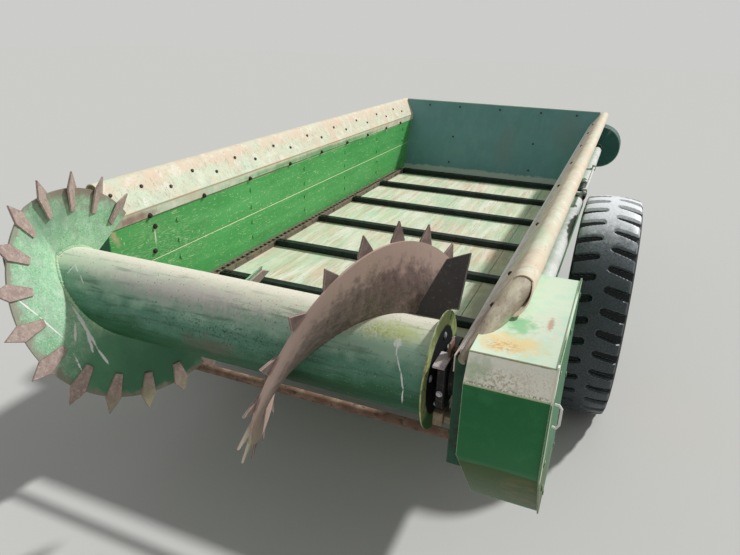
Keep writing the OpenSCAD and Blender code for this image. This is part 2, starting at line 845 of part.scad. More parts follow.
// Universal joint on the input line: two forks, a quarter turn apart, on one cross.
module u_joint(y) {
    hub_d = 50;
    reach = 34;
    ear_t = 12;
    for (end = [0, 1])
        translate([0, y, pto_z]) rotate([0, 90 * end, 180 * end]) {
            rod_y(0, -joint_len, -reach, 0, hub_d);
            for (side = [-1, 1])
                on_side(side)
                    block(reach - ear_t - 4, reach - 4, -reach - 1, ear_t, -ear_t, ear_t);
            rod_x(-reach, reach, 0, 0, 14);
        }
}

module pto_shaft() {
    y0 = case_y + 40;
    y1 = case_y + case_w + pto_len;
    joint_y = [case_y + case_w + 110, y1 - 110];
    tube_d = 50;
    bore_d = 35;
    bore_len = 60;
    color("dimgray")
        difference() {
            union() {
                rod_y(0, y0, joint_y[0] - joint_len + 1, pto_z, line_d);
                rod_y(0, joint_y[0] + joint_len - 1, joint_y[1] - joint_len + 1, pto_z, tube_d);
                for (y = joint_y)
                    u_joint(y);
                rod_y(0, joint_y[1] + joint_len - 1, y1, pto_z, tube_d + 20);
            }
            rod_y(0, y1 - bore_len, y1 + 1, pto_z, bore_d);
        }
}

// Jack

// Places the jack beside the left tongue beam, with its X axis square to the beam.
module at_jack() {
    y = panel_y + jack_front;
    x = tongue_x(y) + (tongue_w / 2 + jack_out + jack_tube_d / 2) / cos(tongue_turn);
    translate([-x, y, 0]) rotate([0, 0, -tongue_turn]) children();
}

module jack_tube() {
    bore_top = jack_leg_h + jack_travel + 35;
    top = bore_top + 10;
    arm = 150;
    arm_t = 10;
    arm_z = top + 25;
    grip_len = 90;
    grip_d = 18;
    spindle_h = 30;
    bracket_t = 10;
    bracket_half = 60;
    color("darkgreen") at_jack()
        difference() {
            union() {
                translate([0, 0, jack_low]) cylinder(h = top - jack_low, d = jack_tube_d);
                for (z = [rail_low + 10, tongue_top - 20])
                    block(0, jack_tube_d / 2 + jack_out, -bracket_half, bracket_half,
                          z, z + bracket_t);
                translate([0, 0, top - 5]) cylinder(h = spindle_h, d = 2 * arm_t);
                block(-arm_t, arm_t, -arm, arm_t, arm_z, arm_z + arm_t);
                translate([0, arm_t - arm, arm_z + arm_t / 2]) cylinder(h = grip_len, d = grip_d);
            }
            translate([0, 0, jack_low - 5])
                cylinder(h = bore_top - jack_low + 5, d = jack_tube_d - 2 * jack_wall);
        }
}

module jack_leg() {
    foot_d = 150;
    foot_t = 10;
    color("silver") at_jack() {
        cylinder(h = foot_t, d = foot_d);
        cylinder(h = jack_leg_h, d = jack_tube_d - 2 * jack_wall - 2 * run_gap);
    }
}

// Wheels

module revolve_x(x, y, z) {
    translate([x, y, z]) rotate([0, 90, 0]) rotate_extrude() children();
}

// One tread slot in the top of the tyre, from the plain middle band out over the shoulder.
module tread_slot() {
    translate([slot_gap / 2 + slot_w / 2, 0, tyre_d / 2 - slot_h]) rotate([0, 0, slot_slant]) {
        cylinder(h = 2 * slot_h, d = slot_w, $fn = 12);
        block(0, tyre_w, -slot_w / 2, slot_w / 2, 0, 2 * slot_h);
    }
}

module tyre(side) {
    half = tyre_w / 2;
    r = tyre_d / 2;
    bead_r = rim_d / 2;
    mid_r = (r + bead_r) / 2;
    tread_half = 0.46 * tyre_w;
    wall = 20;
    crown_t = 36;
    profile = [[r, 0.6 * tread_half], [r - 8, tread_half], [mid_r + 50, half], [mid_r - 20, half],
               [bead_r, half - bead_in], [bead_r, half - bead_in - wall],
               [mid_r - 20, half - wall], [mid_r + 50, half - wall],
               [r - crown_t, tread_half - wall]];
    mirrored = [for (i = [len(profile) - 1 : -1 : 0]) [profile[i][0], -profile[i][1]]];
    color("black") on_side(side)
        difference() {
            revolve_x(tyre_x, beater_y + wheel_y, wheel_z) polygon(concat(profile, mirrored));
            for (row = [0, 1])
                for (i = [0 : slot_n - 1])
                    translate([tyre_x, beater_y + wheel_y, wheel_z])
                        rotate([(i + row / 2) * 360 / slot_n, 0, 0])
                        mirror([row, 0, 0]) tread_slot();
        }
}

// Wheel rim with a drop centre, pressed with its disc from one sheet.
module rim(side) {
    t = 6;
    r = rim_d / 2;
    lip_in = tyre_w / 2 - bead_in + 7;
    lip_out = lip_in + t;
    lip_r = r + 14;
    well = 30;
    well_r = r - 34;
    hole_r = 60;
    color("gold") on_side(side)
        revolve_x(tyre_x, beater_y + wheel_y, wheel_z)
            polygon([[r, -lip_in], [lip_r, -lip_in], [lip_r, -lip_out], [r - t, -lip_out],
                     [r - t, -well], [well_r - t, 10 - well], [well_r - t, 5], [hole_r, 5],
                     [hole_r, 5 + t], [well_r, 5 + t], [r - t, well], [r - t, lip_out],
                     [lip_r, lip_out], [lip_r, lip_in], [r, lip_in], [r, well - 5],
                     [well_r, -5], [well_r, 15 - well], [r, -well]]);
}

module hub(side) {
    barrel_d = 90;
    barrel_in = 90;
    flange_d = 220;
    end_x = tyre_x + spindle_out + run_gap;
    y = beater_y + wheel_y;
    color("goldenrod") on_side(side)
        difference() {
            union() {
                rod_x(tyre_x - barrel_in, end_x + 12, y, wheel_z, barrel_d);
                rod_x(tyre_x - 10, tyre_x + 5, y, wheel_z, flange_d);
            }
            rod_x(tyre_x - barrel_in - 1, end_x, y, wheel_z, spindle_d + 2 * run_gap);
        }
}

rail(-1);  // rail_left
rail(1);  // rail_right
cross_members();
axle();
tongue(-1);  // tongue_left
tongue(1);  // tongue_right
front_beam();
tongue_ties();
hitch_clevis();
floor_boards();
plank(-1, floor_low, plank_joint_z);  // lower_plank_left
plank(1, floor_low, plank_joint_z);  // lower_plank_right
plank(-1, plank_joint_z, wall_top_z);  // upper_plank_left
plank(1, plank_joint_z, wall_top_z);  // upper_plank_right
stakes(-1);  // stakes_left
stakes(1);  // stakes_right
flare(-1, beater_y + flare_left_start, beater_y + flare_left_foot);  // flare_left
flare(1, beater_y + flare_right_start, tail_y);  // flare_right
front_panel();
apron_chain(-1);  // apron_chain_left
apron_chain(1);  // apron_chain_right
apron_slats();
apron_shaft(apron_y0);  // apron_rear_shaft
apron_shaft(apron_y1);  // apron_front_shaft
rear_tie_pipe();
beater_plate(-1, 0, bearing_len);  // beater_plate_left
beater_plate(1, bearing_len, 8);  // beater_plate_right
drive_housing();
gear_case();
shield(housing_y1, hanger_y0 - shield_rear_gap);  // shaft_shield_rear
shield(hanger_y1 + shield_front_gap, case_y - shield_case_gap);  // shaft_shield_front
shaft_hanger();
line_shaft();
case_arm();
front_chain_case();
chain_case_cover();
pto_shaft();
jack_tube();
jack_leg();
beater_drum();
beater_shaft();
beater_flight(flight_left, 1);  // beater_flight_left
beater_flight(flight_right, -1);  // beater_flight_right
tyre(-1);  // tyre_left
tyre(1);  // tyre_right
rim(-1);  // rim_left
rim(1);  // rim_right
hub(-1);  // hub_left
hub(1);  // hub_right
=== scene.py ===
"""Finishes and fine detail of the manure spreader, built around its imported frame.

+X is right seen from behind, +Y is forward to the hitch and +Z is up. Lengths are in metres.
"""
import json
import logging
import math
from dataclasses import dataclass, field
from enum import Enum
from typing import Any

import bmesh
import bpy
from mathutils import Matrix, Vector

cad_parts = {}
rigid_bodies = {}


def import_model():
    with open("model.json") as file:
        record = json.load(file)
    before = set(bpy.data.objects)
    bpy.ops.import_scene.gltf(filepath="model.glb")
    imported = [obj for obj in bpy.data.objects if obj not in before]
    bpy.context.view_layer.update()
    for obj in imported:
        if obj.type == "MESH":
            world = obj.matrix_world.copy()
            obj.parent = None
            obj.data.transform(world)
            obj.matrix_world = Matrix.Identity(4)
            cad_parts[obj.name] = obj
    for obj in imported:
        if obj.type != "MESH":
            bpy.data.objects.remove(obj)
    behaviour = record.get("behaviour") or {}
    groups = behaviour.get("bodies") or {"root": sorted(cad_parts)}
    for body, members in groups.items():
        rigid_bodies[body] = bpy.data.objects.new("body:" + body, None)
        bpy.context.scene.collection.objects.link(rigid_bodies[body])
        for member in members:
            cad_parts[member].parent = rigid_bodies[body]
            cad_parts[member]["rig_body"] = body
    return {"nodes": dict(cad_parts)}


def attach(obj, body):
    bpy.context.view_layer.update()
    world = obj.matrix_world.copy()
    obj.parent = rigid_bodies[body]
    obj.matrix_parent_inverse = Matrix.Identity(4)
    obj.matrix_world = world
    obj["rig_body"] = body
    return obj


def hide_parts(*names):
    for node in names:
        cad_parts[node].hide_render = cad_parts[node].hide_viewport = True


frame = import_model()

LOG = logging.getLogger("spreader")
Socket, Mesh = bpy.types.NodeSocket, bpy.types.Mesh
Numbers, Sizes = tuple[float, ...], dict[str, float | int]
Pair, Triple = tuple[float, float], tuple[float, float, float]
Pairs, Line, Placed = tuple[Pair, ...], tuple[Triple, ...], tuple[Triple, Triple]

LEFT, RIGHT = (-1.0, 0.0, 0.0), (1.0, 0.0, 0.0)
BACK, FORWARD = (0.0, -1.0, 0.0), (0.0, 1.0, 0.0)
UP = (0.0, 0.0, 1.0)

# Places and sizes of the frame that several assemblies share.
BEATER_Y = -2.15
BEATER_Z = 0.824
BEATER_AXIS = (0.0, BEATER_Y, BEATER_Z)
DRUM_R = 0.1165
WALL_IN = 0.638
WALL_OUT = 0.673
FLOOR_Z = 0.584
LINE_X = 0.716
LINE_Z = 0.815
CASE_Z = 0.655
WHEEL_X = 0.8865
WHEEL_Y = -0.765
WHEEL_Z = 0.475

# How far the noise's level moves between no cover and full cover.
NOISE_SPAN = 0.34
# Step of the noise's shift from layer to layer, so that no two match.
SEED_STEP = 3.1


def srgb(code: str) -> tuple[float, float, float, float]:
    """Turns an sRGB hex colour to linear values.

    Args:
        code: Six hex digits, such as "3f7a4b".

    Returns:
        Linear red, green, blue and an alpha of 1.
    """
    levels = [int(code[i:i + 2], 16) / 255 for i in (0, 2, 4)]
    red, green, blue = [v / 12.92 if v <= 0.04045 else ((v + 0.055) / 1.055) ** 2.4 for v in levels]
    return red, green, blue, 1.0


class Nodes:
    """A node tree with short ways to add the nodes that recur."""

    def __init__(self, tree: bpy.types.NodeTree) -> None:
        """Takes the tree that gets the nodes."""
        self.tree = tree

    def add(self, kind: str, inputs: dict[Any, Any] | None = None, **settings: Any) -> bpy.types.Node:
        """Adds a node with its settings and links.

        Args:
            kind: The node's type, such as "ShaderNodeTexNoise".
            inputs: Values, or sockets to link from, by input name or index.
            settings: Properties of the node.

        Returns:
            The node.
        """
        node = self.tree.nodes.new(kind)
        for name, value in settings.items():
            setattr(node, name, value)
        for key, value in (inputs or {}).items():
            if isinstance(value, Socket):
                self.tree.links.new(value, node.inputs[key])
            else:
                node.inputs[key].default_value = value
        return node

    def get(self, kind: str, inputs: dict[Any, Any] | None = None, output: int | str = 0,
            **settings: Any) -> Socket:
        """Adds a node and returns one of its outputs."""
        return self.add(kind, inputs, **settings).outputs[output]

    def calc(self, rule: str, *terms: Any) -> Socket:
        """Adds a Math node and returns its result."""
        return self.get("ShaderNodeMath", dict(enumerate(terms)), operation=rule)

    def remap(self, value: Any, low: Any, high: Any, to_low: Any = 0.0, to_high: Any = 1.0,
              smooth: bool = False) -> Socket:
        """Maps a value from one range to another.

        Args:
            value: The value.
            low: Start of its range.
            high: End of its range.
            to_low: What the start turns to.
            to_high: What the end turns to.
            smooth: Whether both ends are eased.

        Returns:
            The mapped value, which stays between the two ends.
        """
        return self.get("ShaderNodeMapRange", {"Value": value, "From Min": low, "From Max": high,
                                               "To Min": to_low, "To Max": to_high},
                        interpolation_type="SMOOTHSTEP" if smooth else "LINEAR")

    def vector(self, x: Any = 0.0, y: Any = 0.0, z: Any = 0.0) -> Socket:
        """Joins three numbers to a vector."""
        return self.get("ShaderNodeCombineXYZ", {0: x, 1: y, 2: z})

    def parts(self, vector: Socket) -> Any:
        """Splits a vector into its three numbers."""
        return self.add("ShaderNodeSeparateXYZ", {0: vector}).outputs

    def paint(self, mask: Socket, under: Socket, colour: str) -> Socket:
        """Lays an sRGB hex colour over another where the mask says so."""
        return self.get("ShaderNodeMix", {0: mask, 6: under, 7: srgb(colour)}, 2, data_type="RGBA")

    def follow(self, known: dict[str, Any], *steps: tuple[Any, ...]) -> None:
        """Works out named values, each from a rule and the names or numbers that it takes.

        Args:
            known: The values by name, which grow.
            steps: Name, rule and terms of each new value.
        """
        for name, rule, *terms in steps:
            known[name] = self.calc(rule, *(known[t] if isinstance(t, str) else t for t in terms))


class Grain(Enum):
    """How far a layer's patches, of wear or of painted light and shade, are drawn out along X, Y and Z."""

    EVEN = (1.0, 1.0, 1.0)
    ALONG = (1.0, 14.0, 1.0)
    SLIGHTLY_ALONG = (1.0, 4.0, 1.0)
    ACROSS = (10.0, 1.0, 1.0)
    RUN_DOWN = (1.0, 1.0, 6.0)
    RUN_IN = (5.0, 1.0, 7.0)


@dataclass(frozen=True)
class Layer:
    """One colour that lies over part of a finish, such as fading, rust, dirt, a stain, painted light or
    painted shade.

    Attributes:
        colour: Its sRGB hex colour.
        size: Size of its patches in metres.
        cover: Share of the surface that it takes, from 0 to 1.
        soft: Half the width of a patch's edge, in parts of the noise's range.
        grain: How far its patches are drawn out.
        centre: Middle of the place that it keeps to, or None where it lies everywhere.
        reach: Half the size of that place along X, Y and Z.
        turn: Turn of that place about X, Y and Z, in degrees.
        ragged: How far the noise eats into that place's edge.
        blur: Width of that place's edge, in parts of its half size.
        outside: Whether it keeps out of the place instead.
        proud: Height of the layer in millimetres.
        strength: Its opacity.
        roughness: Its roughness, or None for that of what it lies on.
    """

    colour: str
    size: float = 0.05
    cover: float = 1.0
    soft: float = 0.05
    grain: Grain = Grain.EVEN
    centre: Triple | None = None
    reach: Triple = (1.0, 1.0, 1.0)
    turn: Triple = (0.0, 0.0, 0.0)
    ragged: float = 0.6
    blur: float = 0.25
    outside: bool = False
    proud: float = 0.0
    strength: float = 1.0
    roughness: float | None = None

    def mask(self, nodes: Nodes, place: Socket, seed: float) -> Socket:
        """Draws where the layer lies.

        Args:
            nodes: The material's nodes.
            place: Object coordinates.
            seed: Shift of the noise.

        Returns:
            A socket from 0 to the layer's strength.
        """
        scale = [1.0 / (self.size * stretch) for stretch in self.grain.value]
        shifted = nodes.get("ShaderNodeMapping", {"Vector": place, "Location": (seed, 1.7 * seed, -seed),
                                                  "Scale": scale})
        noise = nodes.get("ShaderNodeTexNoise", {"Vector": shifted, "Scale": 1.0, "Detail": 4.0,
                                                 "Roughness": 0.62})
        found = None
        if self.cover < 1.0:
            level = 0.5 + NOISE_SPAN * (0.5 - self.cover)
            found = nodes.remap(noise, level - self.soft, level + self.soft, 0.0, self.strength, smooth=True)
        if self.centre is not None:
            local = nodes.get("ShaderNodeMapping", {"Vector": place, "Location": self.centre,
                                                    "Rotation": [math.radians(a) for a in self.turn],
                                                    "Scale": self.reach}, vector_type="TEXTURE")
            distance = nodes.get("ShaderNodeVectorMath", {0: local}, "Value", operation="LENGTH")
            eaten = nodes.calc("MULTIPLY_ADD", noise, 2.0 * self.ragged, distance)
            limit = 1.0 + self.ragged
            ends = (0.0, 1.0) if self.outside else (1.0, 0.0)
            inside = nodes.remap(eaten, limit - self.blur, limit, *ends, smooth=True)
            found = nodes.calc("MULTIPLY", inside, self.strength if found is None else found)
        return found


@dataclass(frozen=True)
class Finish:
    """A finish: what the surface is, and the layers of wear and of painted light and shade over it from first
    to last.

    Attributes:
        name: The real material's name.
        colour: The sRGB hex colour of its sound parts.
        roughness: Roughness of its sound parts.
        metallic: Share of bare metal.
        gloss: Specular level: 0.5 for bare metal, less for porous paint, wood and rubber.
        pit: Size of its fine grain in metres.
        depth: Depth of that grain in millimetres.
        edge: Colour of its worn edges, or None.
        edge_r: How far the wear reaches in from an edge, in metres.
        layers: Layers of wear and of painted light and shade.
    """

    name: str
    colour: str
    roughness: float = 0.6
    metallic: float = 0.0
    gloss: float = 0.25
    pit: float = 0.004
    depth: float = 0.1
    # edge: Colour painted along its edges, or None: wear on most finishes, a painted highlight on the tyre's
    # lugs. edge_r: How far that colour reaches in from an edge, in metres.
    edge: str | None = None
    edge_r: float = 0.004
    layers: tuple[Layer, ...] = ()

    def build(self) -> bpy.types.Material:
        """Makes the material.

        Returns:
            The material, which reads Object coordinates.
        """
        material = bpy.data.materials.new(self.name)
        material.use_nodes = True
        nodes = Nodes(material.node_tree)
        place = nodes.get("ShaderNodeTexCoord", output="Object")
        grain = nodes.get("ShaderNodeTexNoise", {"Vector": place, "Scale": 1.0 / self.pit, "Detail": 3.0,
                                                 "Roughness": 0.7})
        height = nodes.calc("MULTIPLY", grain, self.depth)
        rough = nodes.remap(grain, 0.3, 0.7, self.roughness - 0.08, self.roughness + 0.08)
        tone = nodes.remap(grain, 0.3, 0.7, 0.88, 1.12)
        colour = nodes.get("ShaderNodeVectorMath", {0: srgb(self.colour)[:3], 3: tone}, operation="SCALE")
        for index, layer in enumerate(self.layers):
            mask = layer.mask(nodes, place, SEED_STEP * (index + 1))
            colour = nodes.paint(mask, colour, layer.colour)
            if layer.roughness is not None:
                rough = nodes.get("ShaderNodeMix", {0: mask, 2: rough, 3: layer.roughness})
            if layer.proud:
                height = nodes.calc("MULTIPLY_ADD", mask, layer.proud, height)
        if self.edge is not None:
            colour = nodes.paint(self.edge_mask(nodes, grain), colour, self.edge)
        bump = nodes.get("ShaderNodeBump", {"Strength": 1.0, "Distance": 0.001, "Height": height})
        shader = nodes.tree.nodes["Principled BSDF"]
        for key, value in (("Base Color", colour), ("Roughness", rough), ("Normal", bump)):
            nodes.tree.links.new(value, shader.inputs[key])
        shader.inputs["Metallic"].default_value = self.metallic
        shader.inputs["Specular IOR Level"].default_value = self.gloss
        return material

    def edge_mask(self, nodes: Nodes, grain: Socket) -> Socket:
        """Finds the edges, where the normal turns within edge_r, broken up by the grain.

        Args:
            nodes: The material's nodes.
            grain: The fine grain's noise.

        Returns:
            A socket from 0 to 0.85.
        """
        rounded = nodes.get("ShaderNodeBevel", {"Radius": self.edge_r}, samples=4)
        flat = nodes.get("ShaderNodeNewGeometry", output="Normal")
        match = nodes.get("ShaderNodeVectorMath", {0: rounded, 1: flat}, "Value", operation="DOT_PRODUCT")
        turned = nodes.calc("MULTIPLY_ADD", grain, 0.12, match)
        return nodes.remap(turned, 1.04, 0.98, 0.0, 0.85, smooth=True)


def spot(colour: str, centre: Triple, reach: Triple, turn: Triple = (0.0, 0.0, 0.0), **more: Any) -> Layer:
    """A layer that lies at one place."""
    return Layer(colour, centre=centre, reach=reach, turn=turn, **more)


def round_beater(angle: float, radius: float, x: float = 0.0) -> Triple:
    """The point at an angle and radius round the beater's shaft; angle 0 is to the rear, 90 up."""
    turn = math.radians(angle)
    return x, BEATER_Y - radius * math.cos(turn), BEATER_Z + radius * math.sin(turn)


def runs(colour: str, across: float, deep: float, *stretches: tuple[Triple, Triple]) -> tuple[Layer, ...]:
    """Narrow dried runs from point to point.

    Args:
        colour: Their sRGB hex colour.
        across: Half their size along X.
        deep: Half their size square to X and to their way.
        stretches: Start and end of each run.

    Returns:
        One layer for each run.
    """
    layers = []
    for start, end in stretches:
        way = Vector(end) - Vector(start)
        middle = (Vector(start) + Vector(end)) / 2
        along = way.normalized()
        deep_way = along.cross(Vector(RIGHT)).normalized()
        turn = Matrix((deep_way.cross(along), deep_way, along)).transposed().to_euler()
        layers.append(spot(colour, tuple(middle), (across, deep, way.length / 2 + 0.004),
                           tuple(math.degrees(a) for a in turn), size=0.009, ragged=0.75, blur=0.35,
                           proud=0.3, roughness=0.85))
    return tuple(layers)


# Enamel brushed on rolled steel: a satin green coat, chalky in the sun, with rust at its edges.
FRAME_ENAMEL = Finish("green_enamel_on_frame_steel", "3f7a54", 0.55, edge="8a9a6c", layers=(
    Layer("2f6446", 0.25, 0.5, 0.2), Layer("63906f", 0.08, 0.3, 0.12),
    Layer("6f5540", 0.018, 0.12, 0.03, proud=-0.1), Layer("8f8262", 0.5, 0.25, 0.15, strength=0.4)))

# Painted pine boards: a bright satin coat, with bare pale scratches along the grain.
WALL_BOARDS = Finish("green_painted_pine_boards", "55af60", 0.42, pit=0.012, depth=0.1, layers=(
    Layer("4ba356", 0.3, 0.5, 0.2), Layer("68bd70", 0.05, 0.35, 0.15, Grain.ALONG, strength=0.7),
    Layer("cfdca8", 0.004, 0.07, 0.02, Grain.ALONG, roughness=0.8), Layer("c9dcae", 0.01, 0.04, 0.02),
    spot("a9cf9a", (-0.638, -1.7, 0.8), (0.05, 0.42, 0.2), size=0.005, cover=0.3, soft=0.1,
         grain=Grain.SLIGHTLY_ALONG, blur=0.8, strength=0.75),
    spot("b3c48e", (0.0, -1.8, 0.885), (1.0, 0.2, 0.11), size=0.006, cover=0.36, soft=0.08,
         grain=Grain.SLIGHTLY_ALONG, blur=0.6),
    spot("cdd6a4", (-0.638, -1.9, 0.8), (0.05, 0.14, 0.05), (-20.0, 0.0, 0.0), size=0.006, cover=0.3,
         soft=0.08, grain=Grain.ALONG, blur=0.6),
    spot("dfe4b4", (0.0, 0.0, 0.77), (2.0, 6.0, 0.0026), size=0.02, ragged=0.25, blur=0.4, proud=-0.4),
    spot("cfe0b0", (0.0, -0.2, 0.9255), (2.0, 1.5, 0.002), size=0.03, cover=0.75, grain=Grain.ALONG,
         ragged=0.2, blur=0.4, strength=0.8),
    spot("c9b48e", (-0.638, -1.945, 0.905), (0.03, 0.018, 0.055), (24.0, 0.0, 0.0), size=0.02, ragged=0.8,
         blur=0.8, strength=0.8),
    spot("c9d8a0", (0.0, 0.0, 0.587), (2.0, 6.0, 0.01), size=0.03, cover=0.8, blur=0.5, strength=0.8),
    spot("dfe6cf", (-0.638, -1.757, 0.855), (0.01, 0.004, 0.035), size=0.01, ragged=0.7)))

# Weathered pine: thin worn paint over pale wood, in soft streaks that follow the boards, and a painted shadow
# in a band along the right wall.
FLOOR_BOARDS = Finish("worn_pine_floor_boards_with_painted_shadow", "dde2c6", 0.8, pit=0.006, depth=0.2, layers=(
    Layer("c3d5ac", 0.08, 0.45, 0.16, Grain.SLIGHTLY_ALONG, strength=0.8),
    Layer("dcc0a6", 0.1, 0.38, 0.14, Grain.SLIGHTLY_ALONG, strength=0.85),
    Layer("f2f3e4", 0.03, 0.4, 0.14, Grain.ALONG, strength=0.7),
    Layer("b3d8b6", 0.09, 0.3, 0.14, Grain.SLIGHTLY_ALONG, strength=0.75),
    Layer("c9ab8c", 0.02, 0.14, 0.08, Grain.ALONG, strength=0.55),
    Layer("8c7d62", 0.004, 0.12, 0.04, Grain.ALONG, proud=-0.2, strength=0.6),
    # Painted shadow: mauve grey on the band where the right flare's shadow falls.
    spot("a09685", (0.5, -1.3, FLOOR_Z), (0.11, 1.0, 0.05), size=0.1, ragged=0.6, blur=0.8, strength=0.7)))

# Chalked enamel on thin rolled sheet: pink and cream where the coat has gone, mint where it is left, with
# painted shade on the right roll's inner side.
FLARE_SHEET = Finish("faded_enamel_and_painted_shade_on_rolled_sheet", "dbe2c6", 0.6, edge="cdb49c", layers=(
    Layer("cfe0c6", 0.1, 0.5, 0.15), Layer("e6c8ae", 0.13, 0.42, 0.16, strength=0.7),
    Layer("c8c2ae", 0.03, 0.25, 0.12, strength=0.5),
    spot("e8cdb6", (0.0, 0.0, 1.055), (2.0, 6.0, 0.035), size=0.08, cover=0.65, soft=0.15, ragged=0.5,
         blur=0.6, strength=0.85), Layer("efeedd", 0.05, 0.22, 0.1, strength=0.7),
    Layer("b8937a", 0.01, 0.08, 0.05, strength=0.6),
    spot("b3937c", (-0.67, 0.0, 1.01), (0.05, 6.0, 0.07), size=0.007, cover=0.14, soft=0.04,
         grain=Grain.RUN_IN, ragged=0.2, strength=0.55),
    spot("9a7f68", (-0.66, 0.0, 1.02), (0.05, 6.0, 0.06), size=0.005, cover=0.1, soft=0.04,
         grain=Grain.RUN_DOWN, ragged=0.2, strength=0.6),
    spot("7fb483", (-0.638, -0.4, 0.944), (0.004, 1.55, 0.026), size=0.06, ragged=0.25, blur=0.25),
    spot("a3877c", (-0.638, -1.88, 0.945), (0.006, 0.25, 0.03), size=0.05, ragged=0.45, blur=0.5),
    spot("c2a489", (-0.636, 0.0, 0.9665), (0.006, 6.0, 0.004), size=0.05, ragged=0.3, blur=0.5, strength=0.8),
    spot("4b4a38", (-0.636, -0.9, 0.9325), (0.02, 1.2, 0.003), ragged=0.2),
    spot("e6e2e4", (0.655, 0.0, 0.985), (0.03, 6.0, 0.055), size=0.05, ragged=0.3, blur=0.5, strength=0.9),
    spot("b9a890", (0.69, 0.0, 1.02), (0.06, 6.0, 0.09), size=0.05, cover=0.36, soft=0.14, ragged=0.2,
         strength=0.6),
    spot("8b8073", (0.66, 0.0, 1.02), (0.03, 6.0, 0.09), size=0.008, cover=0.2, soft=0.08,
         grain=Grain.SLIGHTLY_ALONG, ragged=0.2, strength=0.6),
    # Painted shade: darker grey on the inner side of the right roll.
    spot("9d9187", (0.652, 0.0, 1.03), (0.024, 6.0, 0.06), size=0.03, cover=0.6, soft=0.2,
         grain=Grain.SLIGHTLY_ALONG, ragged=0.3, blur=0.6, strength=0.6),
    spot("b9d2ae", (0.7, -1.75, 1.05), (0.07, 0.2, 0.05), size=0.06, cover=0.5, soft=0.15, ragged=0.4,
         blur=0.6, strength=0.8),
    spot("a08b7c", (0.69, -2.22, 1.01), (0.06, 0.11, 0.07), size=0.06, ragged=0.6, blur=0.7, strength=0.85),
    spot("c3a797", (0.7, -2.14, 1.04), (0.06, 0.09, 0.06), size=0.03, cover=0.6, soft=0.1, blur=0.5,
         strength=0.8), spot("b4d0aa", (0.705, -2.13, 1.065), (0.025, 0.035, 0.02), size=0.02, blur=0.7)))

# The roll's tail: the same sheet hammered to a taper, its coat rubbed brown and green.
TAIL_SHEET = Finish("rubbed_enamel_on_rolled_tail", "a99c88", 0.6, depth=0.15, layers=(
    Layer("978a78", 0.03, 0.4, 0.15, Grain.SLIGHTLY_ALONG),
    Layer("c3bca2", 0.03, 0.3, 0.12, Grain.SLIGHTLY_ALONG),
    spot("a8c4a0", (0.715, -2.17, 1.02), (0.02, 0.09, 0.022), size=0.02, ragged=0.8, blur=0.8, strength=0.75),
    spot("d5cdb4", (0.672, -2.2, 1.036), (0.03, 0.12, 0.018), (-16.0, 0.0, 0.0), size=0.02, ragged=0.6,
         blur=0.8, strength=0.8), Layer("6f5f4f", 0.004, 0.14, 0.05, Grain.SLIGHTLY_ALONG, strength=0.7)))

# The same enamel, dull and cool where the sheet has stood in shade.
PANEL_SHEET = Finish("dull_teal_enamel_on_sheet", "6f9fa0", 0.62, edge="cdd6c4", layers=(
    Layer("679796", 0.25, 0.5, 0.2), Layer("77a3a3", 0.05, 0.3, 0.12, Grain.RUN_DOWN, strength=0.6),
    spot("7d8f8a", (0.1, 1.02, 0.8), (0.1, 0.3, 0.25), size=0.08, ragged=0.6, blur=0.9, strength=0.5),
    spot("7c8f88", (0.5, 1.05, 0.95), (0.16, 0.3, 0.2), size=0.1, ragged=0.6, blur=0.9, strength=0.4),
    Layer("7c7f6c", 0.005, 0.05, 0.02, strength=0.7),
    spot("bcc9bd", (0.0, 0.937, 0.596), (2.0, 0.05, 0.034), size=0.04, ragged=0.6, blur=0.4, strength=0.9),
    spot("d5dccb", (0.0, 1.125, 1.0745), (2.0, 0.05, 0.004), size=0.05, ragged=0.2, blur=0.4)))

# Cast links: dry brown rust over dark steel.
CHAIN_LINKS = Finish("rusty_cast_chain", "756b5d", 0.75, 0.15, depth=0.2, pit=0.003, edge="a59a88", layers=(
    Layer("8a7863", 0.02, 0.45, 0.08), Layer("3c3a35", 0.03, 0.25, 0.06)))
# Flat bars that slide over the floor: dark, half polished by the load.
SLAT_BARS = Finish("dark_worn_slat_steel", "22302b", 0.5, 0.2, edge="3f4b43", layers=(
    Layer("1a221f", 0.04, 0.45, 0.1), Layer("41382d", 0.012, 0.12, 0.04)))
# Forgings and castings: oil and dirt over dark steel.
DARK_STEEL = Finish("oily_dark_steel", "2c2b30", 0.5, 0.3, 0.4, edge="6a655e", layers=(
    Layer("26262a", 0.04, 0.4, 0.1), Layer("6a4a36", 0.014, 0.15, 0.04, proud=-0.1)))
# Bare pipe: brown scale, rubbed lighter on its upper side.
RUSTY_STEEL = Finish("brown_rusted_pipe", "7d6253", 0.8, 0.05, depth=0.2, layers=(
    Layer("a38a76", 0.04, 0.4, 0.12), Layer("5c4a3c", 0.02, 0.3, 0.08)))
